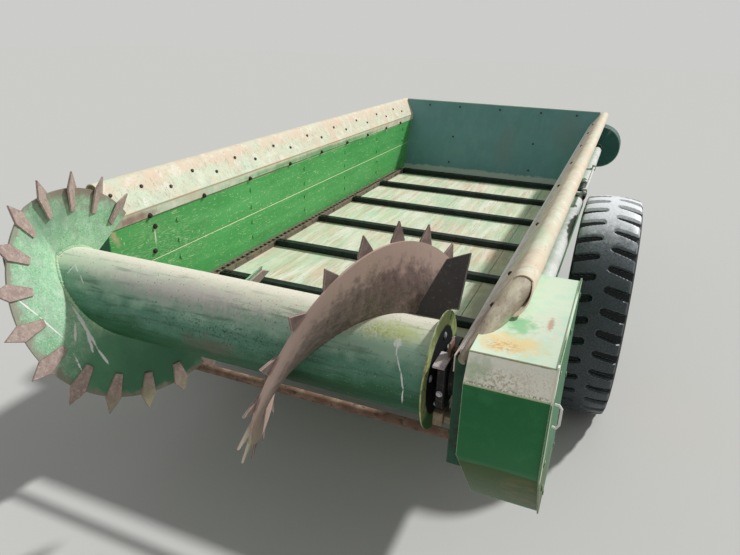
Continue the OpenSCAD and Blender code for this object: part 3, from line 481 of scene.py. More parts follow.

# Sheet bent round the drum: enamel paler round its front top and darker below, partly sun bleaching and
# partly painted light and shade.
DRUM_ENAMEL = Finish("faded_enamel_and_painted_light_on_drum", "326848", 0.5, layers=(
    Layer("2f6340", 0.2, 0.5, 0.2),
    # Partly sun bleaching, partly painted light and shade: paler bands up towards the front top over the dark
    # base.
    spot("5f9079", round_beater(35.0, 0.12), (1.6, 0.108, 0.108), size=0.06, ragged=0.4, blur=0.5),
    spot("a3c3ac", round_beater(52.0, 0.12), (1.6, 0.08, 0.08), size=0.05, ragged=0.5, blur=0.6),
    Layer("5a8c70", 0.03, 0.25, 0.12, Grain.ACROSS, strength=0.35),
    spot("a9c6ae", round_beater(112.0, 0.13), (1.6, 0.15, 0.15), size=0.03, ragged=0.12, blur=0.2),
    spot("cfdcc3", round_beater(112.0, 0.13), (1.6, 0.14, 0.14), size=0.03, ragged=0.15, blur=0.2),
    spot("dcc6b6", round_beater(108.0, 0.13, 0.15), (0.62, 0.142, 0.142), size=0.01, cover=0.42, soft=0.16,
         ragged=0.3, blur=0.4, strength=0.8),
    spot("8d9488", round_beater(46.0, 0.12, 0.0), (0.45, 0.045, 0.045), size=0.008, cover=0.4, soft=0.12,
         ragged=0.5, blur=0.8, strength=0.7), Layer("2c4a36", 0.014, 0.2, 0.08, Grain.ACROSS, strength=0.45),
    Layer("a9bda4", 0.004, 0.05, 0.03, strength=0.6),
    # Painted light, partly sun bleaching: the palest cap, turned towards the lamp's side.
    spot("e6e3d0", round_beater(118.0, 0.13), (1.6, 0.112, 0.112), size=0.05, ragged=0.3, blur=0.5),
    spot("c6beb9", round_beater(54.0, 0.125, -0.15), (0.36, 0.058, 0.058), size=0.03, ragged=0.7, blur=0.8,
         strength=0.75),
    spot("33483d", round_beater(12.0, 0.12), (0.36, 0.06, 0.06), size=0.006, cover=0.22, soft=0.05,
         ragged=0.5, blur=0.6, proud=-0.1, strength=0.85),
    spot("7d6a62", (-0.02, BEATER_Y - 0.11, BEATER_Z - 0.02), (0.12, 0.03, 0.05), size=0.03, ragged=0.8,
         blur=0.8, strength=0.5), Layer("3c4a40", 0.006, 0.05, 0.025, proud=-0.1, strength=0.8),
    *runs("eef0ec", 0.0022, 0.02, ((0.479, -2.229, 0.912), (0.484, -2.246, 0.893)),
          ((0.485, -2.244, 0.894), (0.503, -2.262, 0.858)), ((0.503, -2.26, 0.862), (0.512, -2.268, 0.82)),
          ((0.512, -2.267, 0.824), (0.508, -2.262, 0.775))),
    spot("e4e8e2", (0.479, -2.226, 0.914), (0.011, 0.012, 0.012), size=0.008, ragged=0.8, proud=0.3),
    *runs("dfe4e0", 0.0025, 0.02, ((-0.524, -2.211, 0.923), (-0.498, -2.226, 0.909)),
          ((-0.524, -2.211, 0.923), (-0.533, -2.236, 0.902)),
          ((-0.486, -2.232, 0.906), (-0.463, -2.245, 0.89))),
    spot("c3cd8c", (0.47, BEATER_Y - 0.055, BEATER_Z + 0.108), (0.1, 0.05, 0.025), size=0.015, ragged=0.9,
         blur=0.8, strength=0.8),
    spot("a5b070", (0.42, BEATER_Y - 0.06, BEATER_Z + 0.1), (0.13, 0.05, 0.04), size=0.006, cover=0.4,
         soft=0.1, ragged=0.7, blur=0.8, strength=0.85),
    spot("bac98c", (0.564, BEATER_Y, BEATER_Z), (0.0035, 1.0, 1.0), size=0.02, ragged=0.02, blur=0.1),
    spot("46603f", (0.564, BEATER_Y + 0.03, BEATER_Z + 0.14), (0.0045, 0.14, 0.075), size=0.02, ragged=0.4,
         blur=0.5, strength=0.85),
    spot("8a7c4e", (0.564, BEATER_Y, BEATER_Z), (0.0035, 1.0, 1.0), size=0.015, cover=0.35, soft=0.1,
         ragged=0.02, blur=0.1, strength=0.8),
    spot("4e7a48", (0.564, BEATER_Y, BEATER_Z - 0.16), (0.0045, 1.0, 0.11), size=0.03, ragged=0.1, blur=0.3),
    # Painted shade: near black on the drum's right end face, standing in for a shaded recess.
    spot("17181a", (0.564, BEATER_Y, BEATER_Z), (0.006, 0.113, 0.113), size=0.02, ragged=0.05, blur=0.06,
         roughness=0.8),
    spot("e8e4d2", (-0.606, BEATER_Y, BEATER_Z), (0.006, 0.3, 0.3), size=0.02, ragged=0.2, blur=0.4)))

# Pale green enamel on plate, speckled where it has chalked and rubbed brown at the rim, with painted light
# paler near the drum and painted shade darker at its top and low at the rear.
FLIGHT_GREEN = Finish("pale_enamel_and_painted_shade_on_flight", "9dcda4", 0.5, layers=(
    Layer("83bd8f", 0.1, 0.45, 0.15), Layer("b8dcbb", 0.02, 0.35, 0.12, strength=0.8),
    Layer("cfe0cc", 0.005, 0.25, 0.06, strength=0.7), Layer("6f9d7c", 0.006, 0.2, 0.06, strength=0.6),
    Layer("8d8468", 0.004, 0.06, 0.03), Layer("a9b3a4", 0.05, 0.25, 0.14, strength=0.6),
    spot("e2ead8", (-0.56, -2.4, 0.83), (0.06, 0.16, 0.2), size=0.004, cover=0.34, soft=0.06, ragged=0.5,
         blur=0.8), Layer("4f8460", 0.005, 0.12, 0.04, strength=0.6),
    # Painted light: paler next to the drum.
    spot("cfdab4", BEATER_AXIS, (5.0, 0.15, 0.15), size=0.03, ragged=0.5, blur=0.5, strength=0.7),
    # Painted shade: darker green low at the rear, where the drum's shadow falls.
    spot("5b936f", (-0.33, -2.22, 0.62), (0.19, 0.3, 0.21), size=0.08, ragged=0.3, blur=0.4, strength=0.95),
    spot("44795a", (-0.27, -2.2, 0.6), (0.16, 0.26, 0.17), size=0.05, ragged=0.4, blur=0.6, strength=0.8),
    spot("9b8b80", BEATER_AXIS, (5.0, 0.29, 0.29), size=0.03, outside=True, ragged=0.12, blur=0.06,
         strength=0.75, proud=-0.1),
    spot("8f7d72", (-0.618, BEATER_Y + 0.1, BEATER_Z + 0.3), (0.05, 0.24, 0.1), size=0.02, ragged=0.8,
         blur=0.8, strength=0.75),
    # Painted shade: darker green at the top end.
    spot("7d9a86", (-0.6, BEATER_Y - 0.05, BEATER_Z + 0.22), (0.08, 0.14, 0.08), size=0.04, ragged=0.8,
         blur=0.9, strength=0.6),
    *runs("eef1ea", 0.03, 0.0028, ((-0.614, -2.322, 1.03), (-0.616, -2.262, 0.952)),
          ((-0.535, -2.415, 0.905), (-0.487, -2.38, 0.842)),
          ((-0.487, -2.382, 0.845), (-0.462, -2.345, 0.76))),
    *runs("f4f6f1", 0.03, 0.0042, ((-0.484, -2.276, 0.83), (-0.43, -2.28, 0.77)),
          ((-0.44, -2.283, 0.775), (-0.4, -2.3, 0.7)), ((-0.47, -2.283, 0.805), (-0.405, -2.283, 0.712)),
          ((-0.475, -2.3, 0.79), (-0.44, -2.33, 0.74)), ((-0.405, -2.285, 0.715), (-0.385, -2.275, 0.66)),
          ((-0.455, -2.345, 0.72), (-0.415, -2.345, 0.65)))))

# Bare plate with even brown rust, rubbed lighter at the rim with a painted highlight there too, a little
# green left by the drum.
FLIGHT_RUST = Finish("brown_rust_and_painted_highlight_on_flight", "907c76", 0.42, 0.05, 0.45, depth=0.12, layers=(
    Layer("7e6a64", 0.15, 0.5, 0.2), Layer("a28c83", 0.03, 0.3, 0.14, Grain.RUN_IN, strength=0.6),
    spot("594548", (0.4, -2.06, 1.0), (0.16, 0.16, 0.13), size=0.03, ragged=0.6, blur=0.8, strength=0.3),
    spot("4b4c3a", BEATER_AXIS, (5.0, 0.235, 0.235), size=0.02, ragged=0.9, blur=0.75, strength=0.8),
    Layer("54423d", 0.012, 0.25, 0.12, Grain.RUN_DOWN, strength=0.6),
    Layer("9f8a80", 0.006, 0.2, 0.08, strength=0.5),
    # Rubbed lighter at the rim, and a painted highlight there as well.
    spot("c9ada0", BEATER_AXIS, (5.0, 0.268, 0.268), size=0.02, outside=True, ragged=0.3, blur=0.25,
         strength=0.85),
    spot("cfc4a4", (0.36, BEATER_Y - 0.05, BEATER_Z + 0.255), (0.12, 0.07, 0.07), size=0.004, cover=0.3,
         soft=0.1, ragged=0.7, blur=0.8, strength=0.85),
    spot("93633f", (0.12, -2.41, 0.74), (0.2, 0.14, 0.18), size=0.012, cover=0.4, soft=0.14, ragged=0.6,
         blur=0.8, strength=0.6),
    spot("7d8a5c", (0.15, -2.36, 0.8), (0.2, 0.12, 0.14), size=0.01, cover=0.3, soft=0.12, ragged=0.6,
         blur=0.8, strength=0.5),
    spot("b5b183", (0.0, -2.41, 0.6), (0.3, 0.16, 0.2), size=0.05, ragged=0.5, blur=0.7, strength=0.6)))

# Tooth plates: cut steel with brown rust, lighter where the load rubs their points.
TOOTH_RUST = Finish("pinkish_brown_rust_on_teeth", "b9a499", 0.6, 0.05, edge="6b5a54", edge_r=0.002, layers=(
    Layer("a8928a", 0.03, 0.45, 0.12), Layer("c4b3a9", 0.012, 0.3, 0.08), Layer("7f6b61", 0.004, 0.1, 0.04),
    spot("a1a37c", (0.0, BEATER_Y - 0.1, BEATER_Z - 0.34), (2.0, 0.25, 0.12), size=0.02, ragged=0.6, blur=0.6,
         strength=0.7)))
# Tooth plates on the right flight: the same steel, darker as painted shade, the lower ones pale as painted
# light.
TOOTH_BROWN = Finish("rust_and_painted_light_and_shade_on_teeth", "8d7b74", 0.6, 0.05, edge="c9b6ab", edge_r=0.002, layers=(
    Layer("7a6862", 0.03, 0.45, 0.12), Layer("6a5a52", 0.004, 0.12, 0.04),
    # Painted light: pale on the lower teeth.
    spot("d3c4b4", (0.0, -2.47, 0.6), (2.0, 0.16, 0.22), size=0.02, ragged=0.4, blur=0.5),
    spot("d9d8a8", (0.35, -2.42, 0.6), (0.28, 0.12, 0.16), size=0.02, ragged=0.4, blur=0.5, strength=0.7)))
# The blade at the right end: oily black plate with its edge rubbed bright.
BLADE_STEEL = Finish("dark_steel_blade", "4d4a47", 0.5, 0.1, edge="a59a92", edge_r=0.003, layers=(
    Layer("423f3d", 0.1, 0.5, 0.2), Layer("645c58", 0.01, 0.12, 0.05)))

# Drive housing: deep green enamel, bleached to mint on top with rust under the flare's tail; painted light
# makes its bevel near white and its rear corner pale, and a painted reflection and shade turn its low face
# olive.
HOUSING_ENAMEL = Finish("enamel_and_painted_light_on_drive_housing", "1f6d3c", 0.42, edge="cfd8b4", edge_r=0.0025, layers=(
    Layer("1a6536", 0.3, 0.5, 0.2), Layer("2c7a48", 0.05, 0.2, 0.1, strength=0.6),
    # Painted reflection and shade: olive on the low face.
    spot("2f4d0c", (0.76, -2.33, 0.62), (0.3, 0.25, 0.15), size=0.15, ragged=0.06, blur=0.07),
    spot("5d5a2a", (0.81, -2.33, 0.62), (0.07, 0.25, 0.148), size=0.03, cover=0.5, soft=0.12, ragged=0.15,
         blur=0.3, strength=0.7),
    # Painted light: near white on the bevel, which faces away from the lamp.
    spot("fbfaec", (0.76, -2.385, 0.992), (0.3, 0.05, 0.0385), size=0.02, ragged=0.03, blur=0.06),
    spot("f4f2dc", (0.76, -2.385, 0.992), (0.3, 0.05, 0.0385), size=0.006, cover=0.45, soft=0.2, ragged=0.03,
         blur=0.06, strength=0.8),
    spot("d3b99d", (0.8, -2.385, 0.985), (0.07, 0.05, 0.035), size=0.004, cover=0.2, soft=0.1, blur=0.5,
         strength=0.7),
    spot("b3a284", (0.735, -2.385, 0.975), (0.1, 0.05, 0.032), size=0.006, cover=0.4, soft=0.1, ragged=0.5,
         blur=0.8, strength=0.85),
    spot("a9c29c", (0.695, -2.385, 0.985), (0.045, 0.05, 0.03), size=0.02, ragged=0.8, blur=0.8,
         strength=0.6),
    spot("8f7a60", (0.76, -2.385, 0.959), (0.3, 0.05, 0.006), size=0.004, cover=0.4, soft=0.08, ragged=0.5,
         blur=0.5, strength=0.8),
    spot("e0f0d8", (0.76, -2.12, 1.013), (0.3, 0.3, 0.006), size=0.05, ragged=0.02, blur=0.1),
    spot("c6ecd4", (0.76, -2.12, 1.013), (0.3, 0.3, 0.006), size=0.045, cover=0.28, soft=0.12, ragged=0.02,
         blur=0.1, strength=0.8),
    spot("f0dfce", (0.8, -2.2, 1.013), (0.06, 0.12, 0.006), size=0.012, cover=0.3, soft=0.15, ragged=0.3,
         blur=0.5, strength=0.8),
    spot("93d099", (0.745, -2.215, 1.012), (0.045, 0.07, 0.01), size=0.02, ragged=0.9, blur=0.8,
         strength=0.85),
    spot("efdca4", (0.74, -2.3, 1.012), (0.1, 0.06, 0.01), size=0.02, ragged=0.9, blur=0.8),
    spot("cf8f58", (0.728, -2.315, 1.012), (0.065, 0.042, 0.01), size=0.008, cover=0.4, soft=0.1, ragged=0.8,
         blur=0.8, strength=0.8),
    spot("c99f88", (0.803, -2.179, 1.012), (0.009, 0.045, 0.01), size=0.006, ragged=0.8, blur=0.7,
         strength=0.85),
    spot("8f8a62", (0.76, -2.3605, 1.0115), (0.3, 0.0028, 0.004), size=0.01, ragged=0.4, blur=0.5,
         strength=0.9),
    spot("b9cfa0", (0.76, -2.392, 0.956), (0.3, 0.01, 0.0022), size=0.02, ragged=0.3, blur=0.5, strength=0.8),
    # Painted highlight: a pale line down the rear outer corner.
    spot("dcebcf", (0.846, -2.392, 0.75), (0.0065, 0.022, 0.5), size=0.05, ragged=0.1, blur=0.4)))

# Side plates of the beater: dark green, darkened as painted shade, with brown patches.
PLATE_ENAMEL = Finish("enamel_and_painted_shade_on_side_plate", "2a5a41", 0.5, edge="5d7a60", edge_r=0.003, layers=(
    Layer("1f4532", 0.08, 0.45, 0.15), Layer("3b3a2c", 0.02, 0.2, 0.08)))

# Thin-walled shields: white paint gone chalky.
SHIELD_PAINT = Finish("chalky_pale_paint_on_tube", "dedfdb", 0.6, depth=0.03, layers=(
    Layer("c9cbc6", 0.05, 0.4, 0.15), Layer("a09d90", 0.01, 0.07, 0.03, strength=0.7)))
# Chain guard: dark sheet inside its pale worn rim.
GUARD_ENAMEL = Finish("dark_enamel_on_chain_guard", "2f5f58", 0.5, edge="d5e0cf", edge_r=0.009, layers=(
    Layer("28544c", 0.2, 0.5, 0.2), Layer("5b6a54", 0.012, 0.06, 0.03)))
# Pressed wheel: yellow enamel with rust at its edges.
YELLOW_ENAMEL = Finish("yellow_enamel_on_rim", "cfa93a", 0.5, edge="8a7040", layers=(
    Layer("c09c38", 0.1, 0.45, 0.15), Layer("8a6b3c", 0.012, 0.12, 0.03, proud=-0.1),
    Layer("9a9068", 0.2, 0.2, 0.15, strength=0.5)))
# Plated leg: dull zinc, scratched by the tube that it slides in.
ZINC = Finish("dull_zinc_on_leg", "9a9d9c", 0.4, 0.8, 0.5, depth=0.03, layers=(
    Layer("7f8281", 0.02, 0.4, 0.1), Layer("6a5a48", 0.008, 0.08, 0.03)))

# Old rubber: black in its grooves, grey with dust and fine cracks where it rolls; its upper rear paler,
# partly dust and partly painted light, near white at the top as painted light, and its lug edges pale as a
# painted highlight.
RUBBER = Finish("weathered_tyre_rubber_and_painted_light", "343c40", 0.42, gloss=0.4, depth=0.15, pit=0.003, edge="8f999d",
    edge_r=0.0025, layers=(
    Layer("2b3236", 0.08, 0.4, 0.15), Layer("515a5e", 0.006, 0.3, 0.15, strength=0.7),
    # Partly dust, partly painted light: paler grey over the upper rear.
    spot("7b858a", (0.0, WHEEL_Y - 0.2, WHEEL_Z + 0.38), (5.0, 0.3, 0.28), size=0.008, cover=0.6, soft=0.2,
         ragged=0.4, blur=0.7, strength=0.85),
    # Painted light: near white at the top of the tread.
    spot("f2f6f8", (0.0, WHEEL_Y - 0.06, WHEEL_Z + 0.46), (5.0, 0.3, 0.22), size=0.02, ragged=0.3, blur=0.7),
    # Partly dust, partly painted light: pale flecks over the upper rear.
    spot("97a1a6", (0.0, WHEEL_Y - 0.18, WHEEL_Z + 0.42), (5.0, 0.26, 0.26), size=0.006, cover=0.25,
         soft=0.15, ragged=0.3, blur=0.7, strength=0.5),
    *(spot("0d1113", (x, WHEEL_Y, WHEEL_Z), (0.474, 0.4665, 0.4665), size=0.05, ragged=0.01, blur=0.008,
           strength=0.93, roughness=0.7) for x in (-WHEEL_X, WHEEL_X)),
    spot("2f3538", (0.0, WHEEL_Y, WHEEL_Z), (5.0, 0.41, 0.41), size=0.03, cover=0.5, soft=0.15, ragged=0.1,
         strength=0.7)))

# Bolt heads: plain steel, brown with rust.
BOLT_STEEL = Finish("rusty_bolt_heads", "54463c", 0.7, 0.2, 0.4, pit=0.002, layers=(
    Layer("33291f", 0.006, 0.4, 0.1),))
# Bolts that have been turned lately: bright plated steel.
BRIGHT_STEEL = Finish("bright_plated_bolts", "c6c3cc", 0.35, 0.6, 0.5, pit=0.002)
# Block under the bearing: tan scale on a forged bar.
WORN_BLOCK = Finish("tan_scale_on_forged_block", "b3a288", 0.7, layers=(
    Layer("97866f", 0.02, 0.4, 0.15), Layer("6f5f4d", 0.005, 0.12, 0.05)))
# Top of the bearing's casting: pale scale in the sun.
CAST_TOP = Finish("pale_scale_on_casting", "c4b9bd", 0.7, layers=(
    Layer("a89ca0", 0.02, 0.4, 0.15), Layer("7c6c66", 0.006, 0.1, 0.03)))


class Workshop:
    """Makes each finish once and sets finished pieces on their bodies."""

    def __init__(self) -> None:
        """Starts with no finish made."""
        self.made: dict[str, bpy.types.Material] = {}

    def material(self, finish: Finish) -> bpy.types.Material:
        """The material of a finish, made at its first use."""
        if finish.name not in self.made:
            self.made[finish.name] = finish.build()
        return self.made[finish.name]

    def settle(self, name: str, mesh: Mesh, finish: Finish, body: str = "chassis",
               stands_for: tuple[str, ...] = (),
               smooth: float = 32.0) -> bpy.types.Object:
        """Puts a finished mesh on the body that carries it.

        Args:
            name: The piece's name.
            mesh: Its mesh, in the frame's own place.
            finish: Its finish.
            body: The body that it rides on.
            stands_for: Solids of the frame that it replaces.
            smooth: Largest angle in degrees that is shaded as one curve.

        Returns:
            The piece.
        """
        mesh.name = name
        mesh.materials.clear()
        mesh.materials.append(self.material(finish))
        mesh.shade_smooth()
        mesh.set_sharp_from_angle(angle=math.radians(smooth))
        piece = bpy.data.objects.new(name, mesh)
        bpy.context.scene.collection.objects.link(piece)
        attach(piece, body)
        if stands_for:
            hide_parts(*stands_for)
        LOG.info("%s: %d faces on %s", name, len(mesh.polygons), body)
        return piece

    def carry(self, names: str, finish: Finish, bevel: float = 0.0, smooth: float = 32.0) -> None:
        """Copies solids of the frame, joins their faces, rounds their edges and dresses them.

        Args:
            names: The solids' names with a space between them.
            finish: Their finish.
            bevel: Width of the rounded edges in metres, or 0 for none.
            smooth: Largest angle in degrees that is shaded as one curve.
        """
        for name in names.split():
            source = frame["nodes"][name]
            mesh = source.data.copy()
            work = bmesh.new()
            work.from_mesh(mesh)
            bmesh.ops.remove_doubles(work, verts=work.verts, dist=2e-5)
            bmesh.ops.dissolve_limit(work, angle_limit=math.radians(0.5), verts=work.verts, edges=work.edges)
            work.to_mesh(mesh)
            work.free()
            piece = self.settle(f"{name}_worn", mesh, finish, source["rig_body"], (name,), smooth)
            if bevel:
                rounding = piece.modifiers.new("rounded_edges", "BEVEL")
                rounding.width = bevel
                rounding.segments = 2
                rounding.angle_limit = math.radians(40)
                rounding.harden_normals = False


class Form(Nodes):
    """A Geometry Nodes tree with named sizes, which grows into one plain mesh."""

    def __init__(self, name: str, sizes: Sizes) -> None:
        """Starts the tree.

        Args:
            name: The form's name.
            sizes: Its sizes by input name.
        """
        super().__init__(bpy.data.node_groups.new(name, "GeometryNodeTree"))
        self.name = name
        self.sizes = sizes
        self.tree.is_modifier = True
        kinds = {key: "Int" if isinstance(value, int) else "Float" for key, value in sizes.items()}
        for key, kind in ({"Geometry": "Geometry"} | kinds | {"Finish": "Material"}).items():
            self.tree.interface.new_socket(key, in_out="INPUT", socket_type=f"NodeSocket{kind}")
        self.tree.interface.new_socket("Geometry", in_out="OUTPUT", socket_type="NodeSocketGeometry")
        self.size = self.add("NodeGroupInput").outputs

    def place(self, geometry: Socket, position: Socket) -> Socket:
        """Moves each point of a geometry to a place."""
        return self.get("GeometryNodeSetPosition", {"Geometry": geometry, "Position": position})

    def set_on(self, points: Socket, piece: Socket, **more: Any) -> Socket:
        """Sets a copy of a piece on each point, turned or scaled by what is given as well."""
        return self.get("GeometryNodeInstanceOnPoints", {"Points": points, "Instance": piece, **more})

    def grow(self, geometry: Socket, material: bpy.types.Material,
             start: Mesh | None = None) -> Mesh:
        """Ends the tree and turns it into a plain mesh.

        Args:
            geometry: The socket that holds the form.
            material: The finish that its faces get.
            start: Mesh that the tree works on, or None.

        Returns:
            The mesh.
        """
        real = self.get("GeometryNodeRealizeInstances", {0: geometry})
        dressed = self.get("GeometryNodeSetMaterial", {"Geometry": real, "Material": self.size["Finish"]})
        self.add("NodeGroupOutput", {0: dressed})
        carrier = bpy.data.objects.new(self.name, start or bpy.data.meshes.new(self.name))
        bpy.context.scene.collection.objects.link(carrier)
        modifier = carrier.modifiers.new(self.name, "NODES")
        modifier.node_group = self.tree
        values = self.sizes | {"Finish": material}
        for item in self.tree.interface.items_tree:
            if item.in_out == "INPUT" and item.name in values:
                modifier[item.identifier] = values[item.name]
        graph = bpy.context.evaluated_depsgraph_get()
        mesh = bpy.data.meshes.new_from_object(carrier.evaluated_get(graph))
        bpy.data.objects.remove(carrier)
        return mesh


@dataclass(frozen=True)
class BoltHead:
    """Sizes of one kind of bolt head.

    Attributes:
        radius: Radius over its corners.
        height: Its height.
        washer_r: Radius of its washer.
        sides: Six for a hexagon, more for a round head.
        stub_r: Radius of the thread that stands out of a nut, or 0.
        washer_t: Thickness of its washer.
        stub_lift: Height of the thread's middle, in parts of the head's middle.
        largest_turn: Largest turn of a head in radians, a sixth of a full one.
    """

    radius: float = 0.011
    height: float = 0.007
    washer_r: float = 0.015
    sides: int = 6
    stub_r: float = 0.0
    washer_t: float = 0.002
    stub_lift: float = 1.7
    largest_turn: float = 1.05

    def set_in(self, shop: Workshop, name: str, points: list[Placed], finish: Finish,
               body: str = "chassis") -> None:
        """Sets one head at each point and all of them as one piece on their body.

        Args:
            shop: The workshop.
            name: The piece's name.
            points: Place and outward direction of each head.
            finish: Their finish.
            body: The body that they ride on.
        """
        start = bpy.data.meshes.new("bolt_places")
        start.from_pydata([place for place, _ in points], [], [])
        facing = start.attributes.new("facing", "FLOAT_VECTOR", "POINT")
        facing.data.foreach_set("vector", [value for _, way in points for value in way])
        form = Form("bolt_heads", {"Head Radius": self.radius, "Head Height": self.height,
                                   "Washer Radius": self.washer_r, "Sides": self.sides,
                                   "Stub Radius": self.stub_r})
        size = form.size

        def round_bar(sides: Any, radius: Any, height: Any, lift: Any) -> Socket:
            """An upright bar with its middle at a height."""
            bar = form.get("GeometryNodeMeshCylinder", {"Vertices": sides, "Radius": radius, "Depth": height})
            return form.get("GeometryNodeTransform", {0: bar, "Translation": form.vector(z=lift)})

        middle = form.calc("MULTIPLY_ADD", size["Head Height"], 0.5, self.washer_t)
        bolt = form.add("GeometryNodeJoinGeometry")
        for bar in (round_bar(20, size["Washer Radius"], 2 * self.washer_t, 0.0),
                    round_bar(size["Sides"], size["Head Radius"], size["Head Height"], middle),
                    round_bar(12, size["Stub Radius"], size["Head Height"],
                              form.calc("MULTIPLY", middle, self.stub_lift))):
            form.tree.links.new(bar, bolt.inputs[0])
        spin = form.get("FunctionNodeRandomValue", {"Max": self.largest_turn, "Seed": 7}, 1,
                        data_type="FLOAT")
        way = form.get("GeometryNodeInputNamedAttribute", {"Name": "facing"}, data_type="FLOAT_VECTOR")
        upright = form.get("FunctionNodeAlignRotationToVector", {"Vector": way}, axis="Z")
        local = form.get("FunctionNodeRotateRotation", {0: upright, 1: form.vector(z=spin)},
                         rotation_space="LOCAL")
        placed = form.set_on(size["Geometry"], bolt.outputs[0], Rotation=local)
        shop.settle(name, form.grow(placed, shop.material(finish), start), finish, body)


def outward(mesh: Mesh) -> Mesh:
    """Turns a closed mesh's faces outward and returns it."""
    work = bmesh.new()
    work.from_mesh(mesh)
    bmesh.ops.recalc_face_normals(work, faces=work.faces)
    work.to_mesh(mesh)
    work.free()
    return mesh


class Shape:
    """A mesh put together from rounded blocks, plates and bent rods."""

    def __init__(self) -> None:
        """Starts empty."""
        self.work = bmesh.new()

    def block(self, low: Triple, high: Triple, rounding: float = 0.002) -> "Shape":
        """Adds a block with rounded edges.

        Args:
            low: Its lowest corner.
            high: Its highest corner.
            rounding: Width of its rounded edges.

        Returns:
            The shape.
        """
        size = [b - a for a, b in zip(low, high)]
        middle = [(a + b) / 2 for a, b in zip(low, high)]
        place = Matrix.Translation(middle) @ Matrix.Diagonal((*size, 1.0))
        corners = bmesh.ops.create_cube(self.work, size=1.0, matrix=place)["verts"]
        edges = list({edge for corner in corners for edge in corner.link_edges})
        bmesh.ops.bevel(self.work, geom=edges, offset=rounding, segments=2, affect="EDGES", profile=0.5)
        return self

    def plate(self, outline: list[Triple], thick: Triple, rounding: float, segments: int) -> "Shape":
        """Adds a flat plate to the empty shape and rounds its edges.

        Args:
            outline: The corners of one face.
            thick: Way from that face to the other.
            rounding: Width of its rounded edges.
            segments: Number of faces across a rounded edge.

        Returns:
            The shape.
        """
        face = self.work.faces.new([self.work.verts.new(corner) for corner in outline])
        body = bmesh.ops.extrude_face_region(self.work, geom=[face])["geom"]
        moved = [part for part in body if isinstance(part, bmesh.types.BMVert)]
        bmesh.ops.translate(self.work, vec=thick, verts=moved)
        bmesh.ops.recalc_face_normals(self.work, faces=self.work.faces)
        bmesh.ops.bevel(self.work, geom=self.work.edges, offset=rounding, segments=segments, affect="EDGES")
        return self

    def rod(self, points: list[Triple], radii: list[float], sides: int = 16) -> "Shape":
        """Adds a round rod through the points, closed at both ends.

        Args:
            points: Its middle line.
            radii: Its radius at each point; the last one holds for the rest.
            sides: Number of its sides.

        Returns:
            The shape.
        """
        line = [Vector(p) for p in points]
        angles = [2 * math.pi * k / sides for k in range(sides)]
        rings = []
        for index, point in enumerate(line):
            way = (line[min(index + 1, len(line) - 1)] - line[max(index - 1, 0)]).normalized()
            turn = Vector(UP).rotation_difference(way).to_matrix()
            r = radii[min(index, len(radii) - 1)]
            rings.append([self.work.verts.new(point + turn @ Vector((r * math.cos(a), r * math.sin(a), 0.0)))
                          for a in angles])
        self.skin(rings)
        self.work.faces.new(list(reversed(rings[0])))
        self.work.faces.new(rings[-1])
        return self

    def skin(self, rings: list[list[bmesh.types.BMVert]]) -> None:
        """Joins each ring of points to the next with faces."""
        for first, second in zip(rings, rings[1:]):
            for k, corner in enumerate(first):
                after = (k + 1) % len(first)
                self.work.faces.new((corner, first[after], second[after], second[k]))

    def bored_plate(self, x0: float, x1: float, half: Pair, bore: float, square: float = 7.0,
                    rounding: float = 0.003) -> "Shape":
        """Adds a plate with rounded corners round the beater's shaft, with a hole for it.

        Args:
            x0: Its inner face.
            x1: Its outer face.
            half: Half its length and half its height.
            bore: Radius of the hole.
            square: 2 for an ellipse, more for squarer corners.
            rounding: How far its edges are drawn in.

        Returns:
            The shape.
        """
        def ring(x: float, shrink: float, hole: bool) -> list[bmesh.types.BMVert]:
            """One ring of points at x, drawn in by shrink, or round the hole."""
            found = []
            for k in range(48):
                c, s = math.cos(math.pi * k / 24), math.sin(math.pi * k / 24)
                reach = 1.0 / (abs(c) ** square + abs(s) ** square) ** (1.0 / square)
                size = (bore, bore) if hole else [(h - shrink) * reach for h in half]
                found.append(self.work.verts.new((x, BEATER_Y + c * size[0], BEATER_Z + s * size[1])))
            return found

        rings = [ring(x0, 0.0, True), ring(x0, rounding, False), ring(x0 + rounding, 0.0, False),
                 ring(x1 - rounding, 0.0, False), ring(x1, rounding, False), ring(x1, 0.0, True)]
        self.skin([*rings, rings[0]])
        return self

    def mesh(self) -> Mesh:
        """Ends the shape and returns it as a mesh with its faces outward."""
        bmesh.ops.recalc_face_normals(self.work, faces=self.work.faces)
        mesh = bpy.data.meshes.new("shape")
        self.work.to_mesh(mesh)
        self.work.free()
        return mesh


def circle(middle: Triple, across: Triple, radius: float, first: float, step: float, count: int,
           way: Triple) -> list[Placed]:
    """Places on an upright circle, all facing one way.

    Args:
        middle: Its middle.
        across: Level direction in which angle 0 lies.
        radius: Its radius.
        first: Angle of the first place in degrees.
        step: Angle from place to place.
        count: Number of places.
        way: Their outward direction.

    Returns:
        The places.
    """
    found = []
    for k in range(count):
        c, s = (radius * turn(math.radians(first + step * k)) for turn in (math.cos, math.sin))
        found.append((tuple(m + c * a + s * u for m, a, u in zip(middle, across, UP)), way))
    return found


